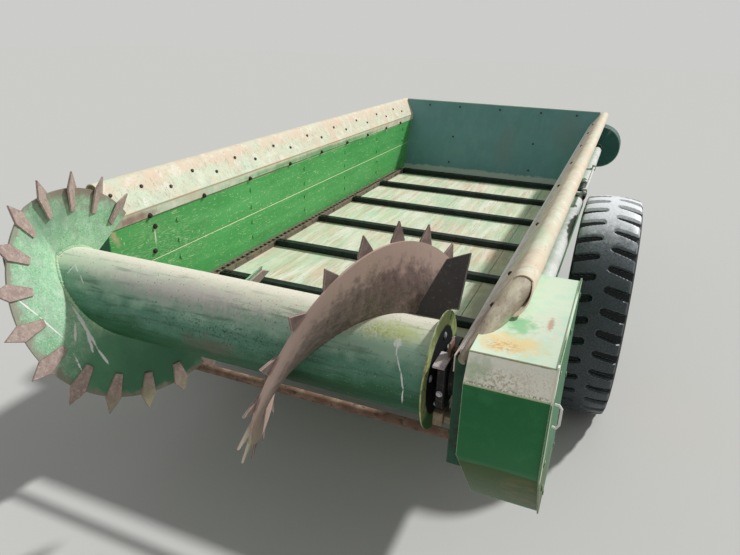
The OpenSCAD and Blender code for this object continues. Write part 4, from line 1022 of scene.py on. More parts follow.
@dataclass(frozen=True)
class LoadBox:
    """Plank walls, floor, flares and front panel.

    Attributes:
        wall_bolts: Y of the bolts that hold the flares to the planks.
        wall_bolt_z: Their height.
        odd_bolts: Y and height of the two bolts on the left wall by themselves.
        left_holes: Y of the bolts on the left flare's sheet.
        right_holes: The same on the right.
        hole_up: Distance of both from the sheet's foot, left and right.
        low_holes: Step back and distance from the foot of the left flare's lower bolts.
        slope: Slope of the flares' sheet.
        foot: X and height of its foot.
        panel_bolts: X of the bolts along the panel's top.
        panel_bolt_z: Their height.
        panel_foot: Y of the panel at the floor.
        panel_lean: Forward lean of the panel for each metre of height.
        stake_first: Y of the first stake.
        stake_step: Step to the next.
        stakes: Number of stakes on a side.
        stake_bolts: Heights of each stake's bolts.
        tail: Middle line of the right flare's rolled tail.
        tail_r: Its radii.
    """

    wall_bolts: Numbers = (-1.776, -1.467, -1.138, -0.782, -0.44, -0.11, 0.2, 0.52, 0.8)
    wall_bolt_z: float = 0.938
    odd_bolts: Pairs = ((-1.768, 0.801), (-1.754, 0.892))
    left_holes: Numbers = (-1.899, -1.753, -1.47, -1.18, -0.86, -0.52, -0.2, 0.12, 0.45, 0.76)
    right_holes: Numbers = (-2.178, -1.979, -1.536, -0.995, -0.52, -0.04, 0.42, 0.8)
    hole_up: Pair = (0.078, 0.074)
    low_holes: Pair = (0.13, 0.045)
    slope: float = math.radians(55.2)
    foot: Pair = (0.635, 0.9705)
    panel_bolts: Numbers = (-0.515, -0.283, 0.014, 0.304, 0.547)
    panel_bolt_z: float = 1.042
    panel_foot: float = 0.934
    panel_lean: float = 0.39
    stake_first: float = -1.63
    stake_step: float = 0.5008
    stakes: int = 6
    stake_bolts: Numbers = (0.665, 0.735, 0.805, 0.885)
    tail: Line = (
        (0.7225, -2.06, 1.048), (0.7215, -2.09, 1.047), (0.7175, -2.12, 1.0435),
        (0.71, -2.155, 1.037), (0.6975, -2.205, 1.024), (0.682, -2.26, 1.005),
        (0.666, -2.31, 0.985), (0.6575, -2.335, 0.974), (0.6555, -2.341, 0.9715))
    tail_r: Numbers = (0.0245, 0.0252, 0.0256, 0.0252, 0.023, 0.019, 0.0145, 0.0115, 0.008)

    def on_flare(self, side: int, y: float, up: float) -> Placed:
        """Place and outward direction on a flare's slanted sheet, up metres above its foot along it."""
        x = self.foot[0] + up * math.cos(self.slope)
        z = self.foot[1] + up * math.sin(self.slope)
        return (side * x, y, z), (-side * math.sin(self.slope), 0.0, math.cos(self.slope))

    def on_panel(self, x: float, z: float) -> Placed:
        """Place and outward direction on the panel's rear face."""
        size = math.hypot(1.0, self.panel_lean)
        y = self.panel_foot + (z - FLOOR_Z) * self.panel_lean
        return (x, y, z), (0.0, -1.0 / size, self.panel_lean / size)

    def build(self, shop: Workshop) -> None:
        """Dresses the boards and sheets, then sets their bolts."""
        shop.carry("lower_plank_left lower_plank_right upper_plank_left upper_plank_right", WALL_BOARDS,
                   0.003)
        shop.carry("floor_boards", FLOOR_BOARDS, 0.002)
        shop.carry("flare_left flare_right", FLARE_SHEET, smooth=28.0)
        shop.carry("front_panel", PANEL_SHEET)
        tail = Shape().rod(list(self.tail), list(self.tail_r), 28)
        shop.settle("flare_tail", tail.mesh(), TAIL_SHEET, smooth=60.0)
        self.bolts(shop)

    def bolts(self, shop: Workshop) -> None:
        """Sets the bolts of the flares, the panel and the planks."""
        back, low = self.low_holes
        small = [self.on_flare(-1, y, self.hole_up[0]) for y in self.left_holes]
        small += [self.on_flare(-1, y + back, low) for y in self.left_holes[1:]]
        small += [self.on_flare(1, y, self.hole_up[1]) for y in self.right_holes]
        small += [self.on_panel(x, self.panel_bolt_z) for x in self.panel_bolts]
        small += [self.on_panel(x, z) for x in (-0.297, 0.287) for z in (0.836, 0.66)]
        BoltHead(0.0055, 0.003, 0.007, 12).set_in(shop, "sheet_bolts", small, BOLT_STEEL)
        large = [((side * (WALL_IN - 0.003), y, self.wall_bolt_z), (-side, 0.0, 0.0))
                 for side in (-1, 1) for y in self.wall_bolts]
        large += [((-WALL_IN, y, z), RIGHT) for y, z in self.odd_bolts]
        stakes = [(side, self.stake_first + i * self.stake_step, z)
                  for side in (-1, 1) for i in range(self.stakes) for z in self.stake_bolts]
        large += [((side * (WALL_OUT + 0.008), y, z), (side, 0.0, 0.0)) for side, y, z in stakes]
        BoltHead(0.008, 0.005, 0.01, 6, 0.004).set_in(shop, "plank_bolts", large, BOLT_STEEL)
        heads = [((side * WALL_IN, y, z), (-side, 0.0, 0.0)) for side, y, z in stakes]
        BoltHead(0.009, 0.002, 0.0095, 16).set_in(shop, "carriage_bolt_heads", heads, WALL_BOARDS)


@dataclass(frozen=True)
class Apron:
    """Chains, slats and the shafts that they run round.

    Attributes:
        first_slat: Y of the rearmost slat on the floor.
        slat_pitch: Step from slat to slat.
        slats: Number of slats that lie on the floor.
        slat_top: Height of the slats' upper face.
        rivet_x: X of each slat end's two rivets.
    """

    first_slat: float = -1.439
    slat_pitch: float = 0.449
    slats: int = 6
    slat_top: float = 0.6123
    rivet_x: Pair = (0.575, 0.553)

    def build(self, shop: Workshop) -> None:
        """Dresses the chains and slats and sets the rivets of the slats' ends."""
        shop.carry("apron_chain_left apron_chain_right", CHAIN_LINKS)
        shop.carry("apron_slats", SLAT_BARS, 0.003)
        shop.carry("apron_rear_shaft apron_front_shaft", DARK_STEEL)
        places = [((side * x, self.first_slat + i * self.slat_pitch, self.slat_top), UP)
                  for side in (-1, 1) for i in range(self.slats) for x in self.rivet_x]
        BoltHead(0.007, 0.003, 0.0075, 12).set_in(shop, "slat_rivets", places, DARK_STEEL)


@dataclass(frozen=True)
class Flight:
    """One spiral flight of the beater with its teeth. Angle 0 points to the rear, 90 up.

    Attributes:
        name: "left" or "right".
        place: X of the sheet at angle 0.
        lead: Sideways run in a full turn.
        start: First angle in degrees.
        end: Last angle in degrees, at the rim.
        cut: How much sooner the sheet's foot ends.
        tooth_at: Angle of one tooth.
        face: Side of the sheet that carries the teeth, 1 or -1.
        finish: Finish of the sheet.
        slot: Name of a slot for it; not used.
        tooth_finish: Finish of the teeth.
        rim_r: Radius of the sheet's rim.
        inner_r: Radius of its foot on the drum.
        sheet_t: Thickness of the sheet.
        limit: Largest distance from the middle.
        steps: Points along the sheet.
        rows: Points across it.
        tooth_step: Angle between teeth.
        tooth_free: Angles without teeth at the sheet's start and end.
        tooth_t: Thickness of a tooth.
        tooth_round: Width of its rounded edges.
        sunk: How deep it is sunk in the sheet.
        tooth_outline: Across and outward places of a tooth's corners, from the rim.
        weld_free: Angles without weld at the sheet's start and end.
        beads: Number of beads in the weld.
        bead_r: Radius of a bead.
    """

    name: str
    place: float
    lead: float
    start: float
    end: float
    cut: float
    tooth_at: float
    face: int
    finish: Finish
    slot: str
    tooth_finish: Finish = TOOTH_RUST
    rim_r: float = 0.295
    inner_r: float = 0.1166
    sheet_t: float = 0.006
    limit: float = 0.618
    steps: int = 220
    rows: int = 12
    tooth_step: float = 20.0
    tooth_free: Pair = (7.0, 4.0)
    tooth_t: float = 0.006
    tooth_round: float = 0.0008
    sunk: float = 0.001
    tooth_outline: Pairs = ((0.0, 0.05), (0.024, 0.002), (0.011, -0.07),
                                                      (-0.011, -0.07), (-0.024, 0.002))
    weld_free: Pair = (2.0, 1.0)
    beads: int = 150
    bead_r: float = 0.0055

    def form(self, kind: str, sizes: Sizes) -> Form:
        """Starts a form that follows the spiral, with the sizes of its run."""
        run = {"Place": self.place, "Lead": self.lead / (2 * math.pi), "Limit": self.limit}
        return Form(f"{kind}_{self.name}", run | sizes)

    def sheet(self, shop: Workshop) -> None:
        """Bends the sheet round the drum."""
        form = self.form("spiral_sheet", {
            "Start": math.radians(self.start), "Foot End": math.radians(self.end - self.cut),
            "Rim End": math.radians(self.end), "Foot Radius": self.inner_r, "Rim Radius": self.rim_r,
            "Thickness": self.sheet_t, "Steps": self.steps})
        size = form.size
        block = form.get("GeometryNodeMeshCube", {"Size": (1.0, 1.0, 1.0), "Vertices X": size["Steps"],
                                                  "Vertices Y": self.rows, "Vertices Z": 2})
        part = form.parts(form.get("GeometryNodeInputPosition"))
        last = form.remap(part[1], -0.5, 0.5, size["Foot End"], size["Rim End"])
        angle = form.remap(part[0], -0.5, 0.5, size["Start"], last)
        radius = form.remap(part[1], -0.5, 0.5, size["Foot Radius"], size["Rim Radius"])
        x = form.calc("MULTIPLY_ADD", part[2], size["Thickness"], self.across(form, angle))
        bent = form.place(block, self.round_drum(form, x, radius, angle))
        shop.settle(f"flight_sheet_{self.name}", form.grow(bent, shop.material(self.finish)), self.finish,
                    "beater", (f"beater_flight_{self.name}",), 50.0)

    def across(self, form: Form, angle: Socket) -> Socket:
        """Socket with the sheet's distance from the middle at an angle, which the walls limit."""
        run = form.calc("MULTIPLY_ADD", form.size["Lead"], angle, form.size["Place"])
        low = form.calc("MULTIPLY", form.size["Limit"], -1.0)
        return form.get("ShaderNodeClamp", {0: run, 1: low, 2: form.size["Limit"]})

    def round_drum(self, form: Form, x: Any, radius: Any, angle: Any) -> Socket:
        """Socket with the point at x, radius and angle round the beater's shaft."""
        flat = form.vector(x, form.calc("SUBTRACT", BEATER_Y, radius), BEATER_Z)
        return form.get("ShaderNodeVectorRotate", {"Vector": flat, "Center": BEATER_AXIS,
                                                   "Angle": form.calc("MULTIPLY", angle, -1.0)},
                        rotation_type="X_AXIS")

    def points(self, form: Form, x: Any, radius: Any, angle: Any) -> Socket:
        """Points along the spiral, as many as the form's count."""
        line = form.get("GeometryNodeMeshLine", {"Count": form.size["Count"]})
        return form.place(line, self.round_drum(form, x, radius, angle))

    def teeth(self, shop: Workshop) -> None:
        """Sets the teeth along the rim, square to the sheet's slant."""
        near = self.sheet_t / 2 - self.sunk
        unit = Shape().plate([(self.face * near, across, out) for across, out in self.tooth_outline],
                             (self.face * self.tooth_t, 0.0, 0.0), self.tooth_round, 1).mesh()
        first = math.ceil((self.start + self.tooth_free[0] - self.tooth_at) / self.tooth_step)
        last = math.floor((self.end - self.tooth_free[1] - self.tooth_at) / self.tooth_step)
        form = self.form("flight_teeth", {
            "Count": last - first + 1, "First Angle": math.radians(first * self.tooth_step + self.tooth_at),
            "Step": math.radians(self.tooth_step), "Rim Radius": self.rim_r,
            "Slant": math.atan(self.lead / (2 * math.pi) / self.rim_r)})
        size = form.size
        index = form.get("GeometryNodeInputIndex")
        angle = form.calc("MULTIPLY_ADD", index, size["Step"], size["First Angle"])
        spread = self.points(form, self.across(form, angle), size["Rim Radius"], angle)
        lean = form.vector(x=form.calc("SUBTRACT", math.pi / 2, angle))
        slant = form.vector(z=form.calc("MULTIPLY", size["Slant"], -1.0))
        turns = {i: form.get("FunctionNodeEulerToRotation", {0: way}) for i, way in enumerate((lean, slant))}
        turn = form.get("FunctionNodeRotateRotation", turns, rotation_space="LOCAL")
        placed = form.set_on(spread, size["Geometry"], Rotation=turn)
        mesh = form.grow(placed, shop.material(self.tooth_finish), unit)
        shop.settle(f"flight_teeth_{self.name}", mesh, self.tooth_finish, "beater",
                    smooth=20.0)

    def weld(self, shop: Workshop) -> None:
        """Lays the weld bead along the sheet's foot on the drum, on its near side."""
        form = self.form("weld_bead", {
            "Count": self.beads, "Start": math.radians(self.start + self.weld_free[0]),
            "End": math.radians(self.end - self.cut - self.weld_free[1]), "Limit": self.limit - 0.004,
            "Radius": DRUM_R + 0.001, "Bead Radius": self.bead_r,
            "Side": self.face * (self.sheet_t / 2 + 0.001)})
        size = form.size
        angle = form.remap(form.get("GeometryNodeInputIndex"), 0.0, size["Count"], size["Start"], size["End"])
        x = form.calc("ADD", self.across(form, angle), size["Side"])
        spread = self.points(form, x, size["Radius"], angle)
        bead = form.get("GeometryNodeMeshIcoSphere", {"Radius": size["Bead Radius"], "Subdivisions": 2})
        uneven = form.get("FunctionNodeRandomValue", {"Min": 0.75, "Max": 1.15, "Seed": 11}, 1,
                          data_type="FLOAT")
        mesh = form.grow(form.set_on(spread, bead, Scale=uneven), shop.material(self.finish))
        shop.settle(f"weld_bead_{self.name}", mesh, self.finish, "beater", smooth=60.0)


@dataclass(frozen=True)
class Beater:
    """Drum with its shaft, two flights and the blade at its right end.

    Attributes:
        blade_angle: Angle of the blade round the shaft in degrees.
        blade_t: Its thickness.
        blade_outline: X and radius of its corners.
        end_x: X of the drum's right end.
        end_bolt_r: Radius of the circle of bolts on it.
        flights: Left and right flight.
    """

    blade_angle: float = 122.0
    blade_t: float = 0.008
    blade_outline: Pairs = ((0.467, 0.1167), (0.522, 0.269), (0.58, 0.295),
                                                      (0.579, 0.15), (0.56, 0.148), (0.548, 0.1167))
    end_x: float = 0.5645
    end_bolt_r: float = 0.085
    flights: tuple[Flight, Flight] = (
        Flight("left", -0.487, -0.702, -188.0, 147.0, 0.0, -1.0, 1, FLIGHT_GREEN, "flight_green"),
        Flight("right", 0.243, 0.702, -164.0, 145.0, 27.0, -3.0, -1, FLIGHT_RUST, "flight_rust", TOOTH_BROWN))

    def build(self, shop: Workshop) -> None:
        """Dresses the drum and makes the flights, the blade and the end's bolts."""
        shop.carry("beater_drum", DRUM_ENAMEL)
        shop.carry("beater_shaft", DARK_STEEL)
        for flight in self.flights:
            flight.sheet(shop)
            flight.teeth(shop)
            flight.weld(shop)
        self.blade(shop)
        bolts = circle((self.end_x, BEATER_Y, BEATER_Z), BACK, self.end_bolt_r, 14, 90, 4, RIGHT)
        BoltHead(0.0055, 0.0015, 0.0085, 6).set_in(shop, "drum_end_bolts", bolts, BRIGHT_STEEL, "beater")

    def blade(self, shop: Workshop) -> None:
        """Cuts the radial blade and rounds its edges."""
        mesh = Shape().plate([(x, -self.blade_t / 2, radius) for x, radius in self.blade_outline],
                             (0.0, self.blade_t, 0.0), 0.0012, 2).mesh()
        turn = Matrix.Rotation(math.radians(90 - self.blade_angle), 4, "X")
        mesh.transform(Matrix.Translation(BEATER_AXIS) @ turn)
        shop.settle("end_blade", mesh, BLADE_STEEL, "beater", smooth=25.0)


@dataclass(frozen=True)
class SideDrive:
    """Housing, shielded side shaft, chain case and the beater's right bearing.

    Attributes:
        bearing_x: Inner and outer X of the bearing's casting.
        bearing_half: Half its length and half its height.
        bore: Radius of the hole for the beater's shaft.
        boss: Radius of the hole for the boss on the side plate.
        latch: Bent rod of the housing's latch.
        rod: Control rod beside the side shaft.
        face_x: X of the housing's outer face.
        rivets: Y and height of the rivets on it.
        case_face: Y of the chain case's front face.
        case_rings: X, height, radius, first angle and step of the bolts at each end of it.
    """

    bearing_x: Pair = (0.5725, 0.6)
    bearing_half: Pair = (0.084, 0.064)
    bore: float = 0.0265
    boss: float = 0.0515
    latch: Line = ((0.845, -2.388, 0.955), (0.853, -2.39, 0.956), (0.858, -2.391, 0.95),
                                 (0.858, -2.391, 0.915), (0.853, -2.39, 0.906), (0.846, -2.388, 0.907))
    rod: Line = ((0.752, -0.52, 0.902), (0.752, 0.12, 0.902))
    face_x: float = WALL_OUT + 0.169
    rivets: Pairs = ((-1.93, 0.985), (-2.14, 0.985), (-2.33, 0.985), (-1.93, 0.76),
                                               (-1.93, 0.535), (-2.13, 0.535), (-2.26, 0.655), (-2.365, 0.8))
    case_face: float = 1.448
    case_rings: tuple[Numbers, ...] = ((LINE_X, LINE_Z, 0.12298, 20, 40),
                                      (0.0, CASE_Z, 0.0882, 160, 45))

    def build(self, shop: Workshop) -> None:
        """Dresses the drive's solids and adds the bearing, latch, rod and bolts."""
        shop.carry("drive_housing", HOUSING_ENAMEL, 0.002)
        shop.carry("gear_case shaft_hanger", DARK_STEEL, 0.003)
        shop.carry("line_shaft pto_shaft", DARK_STEEL, 0.001)
        shop.carry("shaft_shield_rear shaft_shield_front", SHIELD_PAINT, 0.004)
        shop.carry("case_arm", FRAME_ENAMEL, 0.002)
        shop.carry("front_chain_case", GUARD_ENAMEL)
        shop.carry("chain_case_cover", GUARD_ENAMEL, 0.001)
        self.bearing(shop)
        self.small_parts(shop)

    def bearing(self, shop: Workshop) -> None:
        """Builds the dark casting at the beater's right end, its pale top and its bolts."""
        x0, x1 = self.bearing_x
        half_y, half_z = self.bearing_half
        rear, top, low = BEATER_Y - half_y, BEATER_Z + half_z, BEATER_Z - half_z
        casting = Shape().bored_plate(x0 + 0.006, x1, (half_y, half_z), self.bore)
        casting.bored_plate(x0, x0 + 0.008, (0.046, 0.046), self.bore, 2.0)
        casting.bored_plate(x1 - 0.002, WALL_IN - 0.0003, (0.055, 0.055), self.boss, 2.0, 0.001)
        shop.settle("bearing_casting", casting.mesh(), DARK_STEEL)
        # Name, finish, slot and blocks of each part. A block has its ends in X, in Y from the casting's rear
        # and in Z, then its rounding.
        for name, finish, slot, *blocks in (
                ("cap", CAST_TOP, "rusty_steel",
                 (x0 + 0.002, x1 + 0.003, -0.028, 0.044, top + 0.004, top + 0.01, 0.0015)),
                ("seat", DARK_STEEL, "dark_steel",
                 (x0 + 0.004, x1, -0.02, 0.04, top - 0.002, top + 0.006, 0.002)),
                ("stay", RUSTY_STEEL, "rusty_steel",
                 (x1 - 0.004, x1 + 0.002, 0.02, 0.052, top + 0.008, top + 0.046, 0.002),
                 (x1 - 0.001, WALL_IN, 0.044, 0.05, top + 0.016, top + 0.03, 0.002)),
                ("block", WORN_BLOCK, "rusty_steel",
                 (x0 + 0.003, x0 + 0.028, 0.004, 0.064, low - 0.04, low - 0.004, 0.003),
                 (x0 + 0.02, WALL_IN, 0.014, 0.054, low - 0.034, low - 0.016, 0.003))):
            shape = Shape()
            for xa, xb, ya, yb, za, zb, rounding in blocks:
                shape.block((xa, rear + ya, za), (xb, rear + yb, zb), rounding)
            shop.settle(f"bearing_{name}", shape.mesh(), finish)
        bolts = [((x0 + 0.016, rear - 0.0005, BEATER_Z - 0.012), BACK),
                 ((x1 - 0.0045, rear + 0.036, top + 0.03), LEFT)]
        bolts += [((x0 + 0.0055, BEATER_Y + y, BEATER_Z + z), LEFT)
                  for y in (-0.062, 0.062) for z in (-0.055, 0.055)]
        BoltHead(0.0055, 0.0035, 0.0075, 6).set_in(shop, "bearing_bolts", bolts, BRIGHT_STEEL)

    def small_parts(self, shop: Workshop) -> None:
        """Bends the latch and the control rod and sets the housing's and the chain case's bolts."""
        latch = Shape().rod(list(self.latch), [0.0025], 10)
        shop.settle("housing_latch", latch.mesh(), SHIELD_PAINT)
        rod = Shape().rod(list(self.rod), [0.006])
        for x, y, z in self.rod:
            rear = y + math.copysign(0.03, -y) - 0.012
            front = rear + 0.024
            rod.block((WALL_OUT, rear, z - 0.016), (x + 0.01, front, z - 0.005))
            rod.block((x - 0.01, rear, z - 0.016), (x + 0.01, front, z + 0.014), 0.003)
        shop.settle("control_rod", rod.mesh(), SHIELD_PAINT)
        rivets = [((self.face_x, y, z), RIGHT) for y, z in self.rivets] + [((0.695, -1.922, 1.012), UP)]
        BoltHead(0.007, 0.0008, 0.0075, 16).set_in(shop, "housing_rivets", rivets, HOUSING_ENAMEL)
        bolts = [place for x, z, radius, first, step in self.case_rings
                 for place in circle((x, self.case_face, z), RIGHT, radius, first, step, 4, FORWARD)]
        BoltHead(0.008, 0.005, 0.011, 6).set_in(shop, "chain_case_bolts", bolts, BOLT_STEEL)


@dataclass(frozen=True)
class Tyre:
    """A farm tyre: its section turned round the axle, with slots moulded in from both shoulders.

    Attributes:
        middle_x: Distance of its middle from the centre line.
        outer_r: Radius of the tread.
        lining_r: Radius of the tyre's inner face under the tread.
        slots: Number of slots on each side.
        slot_w: Width of a slot.
        slot_h: Depth of a slot.
        slot_gap: Width of the plain band in the middle.
        flare: How fast half a slot's width grows outward.
        drop: How fast a slot's depth grows outward.
        slant: Slant of the slots in radians.
        edge_out: Where a slot's edge starts, outside its outline.
        edge_in: Where it ends, inside its outline, below 0.
        round_steps: Number of points round the tyre.
        fine_step: Step between points across the tread.
        section: X from its middle and radius of half the outer section, from the middle to the bead.
        lining: The same for the inner section, from the bead to the middle.
    """

    middle_x: float = WHEEL_X
    outer_r: float = WHEEL_Z
    lining_r: float = 0.44
    slots: int = 36
    slot_w: float = 0.027
    slot_h: float = 0.018
    slot_gap: float = 0.034
    flare: float = 0.055
    drop: float = 0.15
    slant: float = math.radians(-12.0)
    edge_out: float = 0.002
    edge_in: float = -0.0035
    round_steps: int = 864
    fine_step: float = 0.0045
    section: Pairs = (
        (0.0, 0.475), (0.02, 0.475), (0.04, 0.4744), (0.06, 0.4727), (0.08, 0.4697), (0.094, 0.4664),
        (0.101, 0.464), (0.1045, 0.461), (0.1062, 0.4565), (0.1084, 0.45), (0.1105, 0.443),
        (0.1122, 0.431), (0.1138, 0.42), (0.115, 0.417), (0.115, 0.411), (0.1136, 0.408),
        (0.114, 0.39), (0.114, 0.37), (0.1126, 0.352), (0.1142, 0.348), (0.1136, 0.342),
        (0.111, 0.339), (0.106, 0.318), (0.099, 0.293), (0.093, 0.275), (0.0895, 0.266),
        (0.088, 0.256))
    lining: Pairs = (
        (0.07, 0.255), (0.075, 0.275), (0.09, 0.33), (0.095, 0.36), (0.095, 0.41),
        (0.086, 0.438), (0.0, 0.44))

    def outline(self) -> list[Triple]:
        """The whole closed section, with close steps in the tread."""
        half = [*self.section, *self.lining]
        loop = half + [(-x, r) for x, r in reversed(half)][1:]
        found = []
        for (x0, r0), (x1, r1) in zip(loop, loop[1:]):
            fine = min(r0, r1) > self.outer_r - 2 * self.slot_h and min(r0, r1) != self.lining_r
            count = max(1, round(math.hypot(x1 - x0, r1 - r0) / self.fine_step)) if fine else 1
            found += [(x0 + (x1 - x0) * k / count, r0 + (r1 - r0) * k / count, 0.0) for k in range(count)]
        return [*found, found[0]]

    def build(self, shop: Workshop, name: str, side: int) -> None:
        """Turns the section round the axle and presses the slots in.

        Args:
            shop: The workshop.
            name: "left" or "right".
            side: -1 or 1.
        """
        outline = self.outline()
        start = bpy.data.meshes.new("tyre_section")
        start.from_pydata(outline, [], [])
        form = Form(f"tyre_tread_{name}", {
            "Side": float(side), "Middle": self.middle_x, "Radius": self.outer_r, "Slots": self.slots,
            "Slot Half Width": self.slot_w / 2, "Slot Depth": self.slot_h,
            "Slot Start": (self.slot_gap + self.slot_w) / 2, "Slot Flare": self.flare, "Slot Drop": self.drop,
            "Slant": self.slant, "Section Points": len(outline), "Round Points": self.round_steps + 1})
        known: dict[str, Any] = {key: form.size[key] for key in form.sizes}
        sheet = form.get("GeometryNodeMeshGrid", {"Vertices X": known["Round Points"],
                                                  "Vertices Y": known["Section Points"]})
        known["index"] = form.get("GeometryNodeInputIndex")
        form.follow(known, ("column", "FLOORED_MODULO", "index", "Section Points"),
                    ("row_part", "DIVIDE", "index", "Section Points"), ("row", "FLOOR", "row_part"))
        at = form.get("GeometryNodeInputPosition")
        point = form.get("GeometryNodeSampleIndex", {"Geometry": form.size["Geometry"], "Value": at,
                                                     "Index": known["column"]}, data_type="FLOAT_VECTOR")
        part = form.parts(point)
        known |= {"x": part[0], "r": part[1]}
        form.follow(
            known, ("turn", "DIVIDE", "row", self.round_steps), ("angle", "MULTIPLY", "turn", 2 * math.pi),
            ("u", "ABSOLUTE", "x"), ("u_in", "SUBTRACT", "u", "Slot Start"),
            ("tan", "TANGENT", "Slant"), ("cos", "COSINE", "Slant"), ("sin", "SINE", "Slant"),
            ("lag", "MULTIPLY", "u_in", "tan"), ("around", "MULTIPLY", 2 * math.pi, "Radius"),
            ("pitch", "DIVIDE", "around", "Slots"), ("lag_part", "DIVIDE", "lag", "pitch"),
            ("slot_turn", "MULTIPLY", "turn", "Slots"), ("place", "ADD", "slot_turn", "lag_part"),
            ("is_left", "LESS_THAN", "x", 0.0), ("shifted", "MULTIPLY_ADD", "is_left", 0.5, "place"),
            ("nearest", "ROUND", "shifted"), ("off", "SUBTRACT", "nearest", "shifted"),
            ("arc", "MULTIPLY", "off", "pitch"), ("across", "MULTIPLY", "arc", "cos"),
            ("u_along", "DIVIDE", "u_in", "cos"), ("along", "MULTIPLY_ADD", "arc", "sin", "u_along"),
            ("short", "MINIMUM", "along", 0.0), ("short_2", "MULTIPLY", "short", "short"),
            ("far_2", "MULTIPLY_ADD", "across", "across", "short_2"), ("far", "SQRT", "far_2"),
            ("reach", "MAXIMUM", "along", 0.0),
            ("wide", "MULTIPLY_ADD", "reach", "Slot Flare", "Slot Half Width"),
            ("gap", "SUBTRACT", "far", "wide"), ("deep", "MULTIPLY_ADD", "reach", "Slot Drop", "Slot Depth"),
            ("floor", "SUBTRACT", "Radius", "deep"), ("low", "MINIMUM", "r", "floor"),
            ("is_outer", "GREATER_THAN", "r", self.lining_r + 0.0005))
        cut = form.remap(known["gap"], self.edge_out, self.edge_in, 0.0, known["is_outer"], smooth=True)
        known["pressed"] = form.get("ShaderNodeMix", {0: cut, 2: known["r"], 3: known["low"]})
        form.follow(known, ("s", "SINE", "angle"), ("c", "COSINE", "angle"), ("away", "ADD", "Middle", "x"),
                    ("px", "MULTIPLY", "away", "Side"), ("down", "MULTIPLY", "pressed", "s"),
                    ("py", "SUBTRACT", WHEEL_Y, "down"), ("pz", "MULTIPLY_ADD", "pressed", "c", WHEEL_Z))
        turned = form.place(sheet, form.vector(known["px"], known["py"], known["pz"]))
        closed = form.get("GeometryNodeMergeByDistance", {"Geometry": turned, "Distance": 0.0002})
        mesh = outward(form.grow(closed, shop.material(RUBBER), start))
        shop.settle(f"tyre_tread_{name}", mesh, RUBBER, f"wheel_{name}", (f"tyre_{name}",), 40.0)


@dataclass(frozen=True)
class Wheels:
    """Tyres, rims and hubs of both sides.

    Attributes:
        tyre: The tyre of either side.
        nut_r: Radius of the circle of nuts.
        nuts: Number of nuts.
        flange_out: Distance from the wheel's middle out to the hub flange's face.
        valve: Distance out from the wheel's middle and up from the axle of each point of the valve.
    """

    tyre: Tyre = field(default_factory=Tyre)
    nut_r: float = 0.082
    nuts: int = 6
    flange_out: float = 0.011
    valve: Pairs = ((0.02, 0.222), (0.05, 0.215), (0.075, 0.205))

    def build(self, shop: Workshop) -> None:
        """Dresses both wheels and sets their nuts and valves."""
        middle = self.tyre.middle_x
        for name, side in (("left", -1), ("right", 1)):
            body = f"wheel_{name}"
            self.tyre.build(shop, name, side)
            shop.carry(f"rim_{name}", YELLOW_ENAMEL, 0.001)
            shop.carry(f"hub_{name}", YELLOW_ENAMEL, 0.002)
            nuts = circle((side * (middle + self.flange_out), WHEEL_Y, WHEEL_Z), FORWARD, self.nut_r, 0.0,
                          360.0 / self.nuts, self.nuts, (side, 0.0, 0.0))
            BoltHead(0.013, 0.014, 0.017, 6, 0.008).set_in(shop, f"wheel_nuts_{name}", nuts, BOLT_STEEL, body)
            valve = Shape().rod([(side * (middle + out), WHEEL_Y, WHEEL_Z + up) for out, up in self.valve],
                                [0.004], 12)
            shop.settle(f"valve_{name}", valve.mesh(), DARK_STEEL, body)


@dataclass(frozen=True)
class Undercarriage:
    """Frame, axle, side plates, tongue and jack.

    Attributes:
        painted: Solids of the frame with green enamel.
        beam_y: Y of the front beam's face.
        rail_z: Height of the bolts on it.
        beam_bolts: Their distances from the middle.
        plate_bolts: Y of the bolts on the side plates.
        plate_bolt_z: Their heights.
    """

    painted: str = ("rail_left rail_right cross_members axle tongue_left tongue_right front_beam "
                    "tongue_ties stakes_left stakes_right jack_tube")
    beam_y: float = 1.0243
    rail_z: float = 0.5
    beam_bolts: Numbers = (0.55, 0.42)
    plate_bolts: Numbers = (-2.26, -2.03)
    plate_bolt_z: Numbers = (0.9, 0.76)

    def build(self, shop: Workshop) -> None:
        """Dresses the frame and sets its bolts."""
        shop.carry(self.painted, FRAME_ENAMEL, 0.002)
        shop.carry("beater_plate_left beater_plate_right", PLATE_ENAMEL, 0.002)
        shop.carry("hitch_clevis", DARK_STEEL, 0.002)
        shop.carry("rear_tie_pipe", RUSTY_STEEL)
        shop.carry("jack_leg", ZINC, 0.001)
        places: list[Placed] = []
        for side in (-1, 1):
            places += [((side * x, self.beam_y, self.rail_z), FORWARD) for x in self.beam_bolts]
            places += [((side * (WALL_IN + 0.006), y, z), (side, 0.0, 0.0))
                       for y in self.plate_bolts for z in self.plate_bolt_z]
        BoltHead(0.012, 0.008, 0.016, 6).set_in(shop, "frame_bolts", places, BOLT_STEEL)


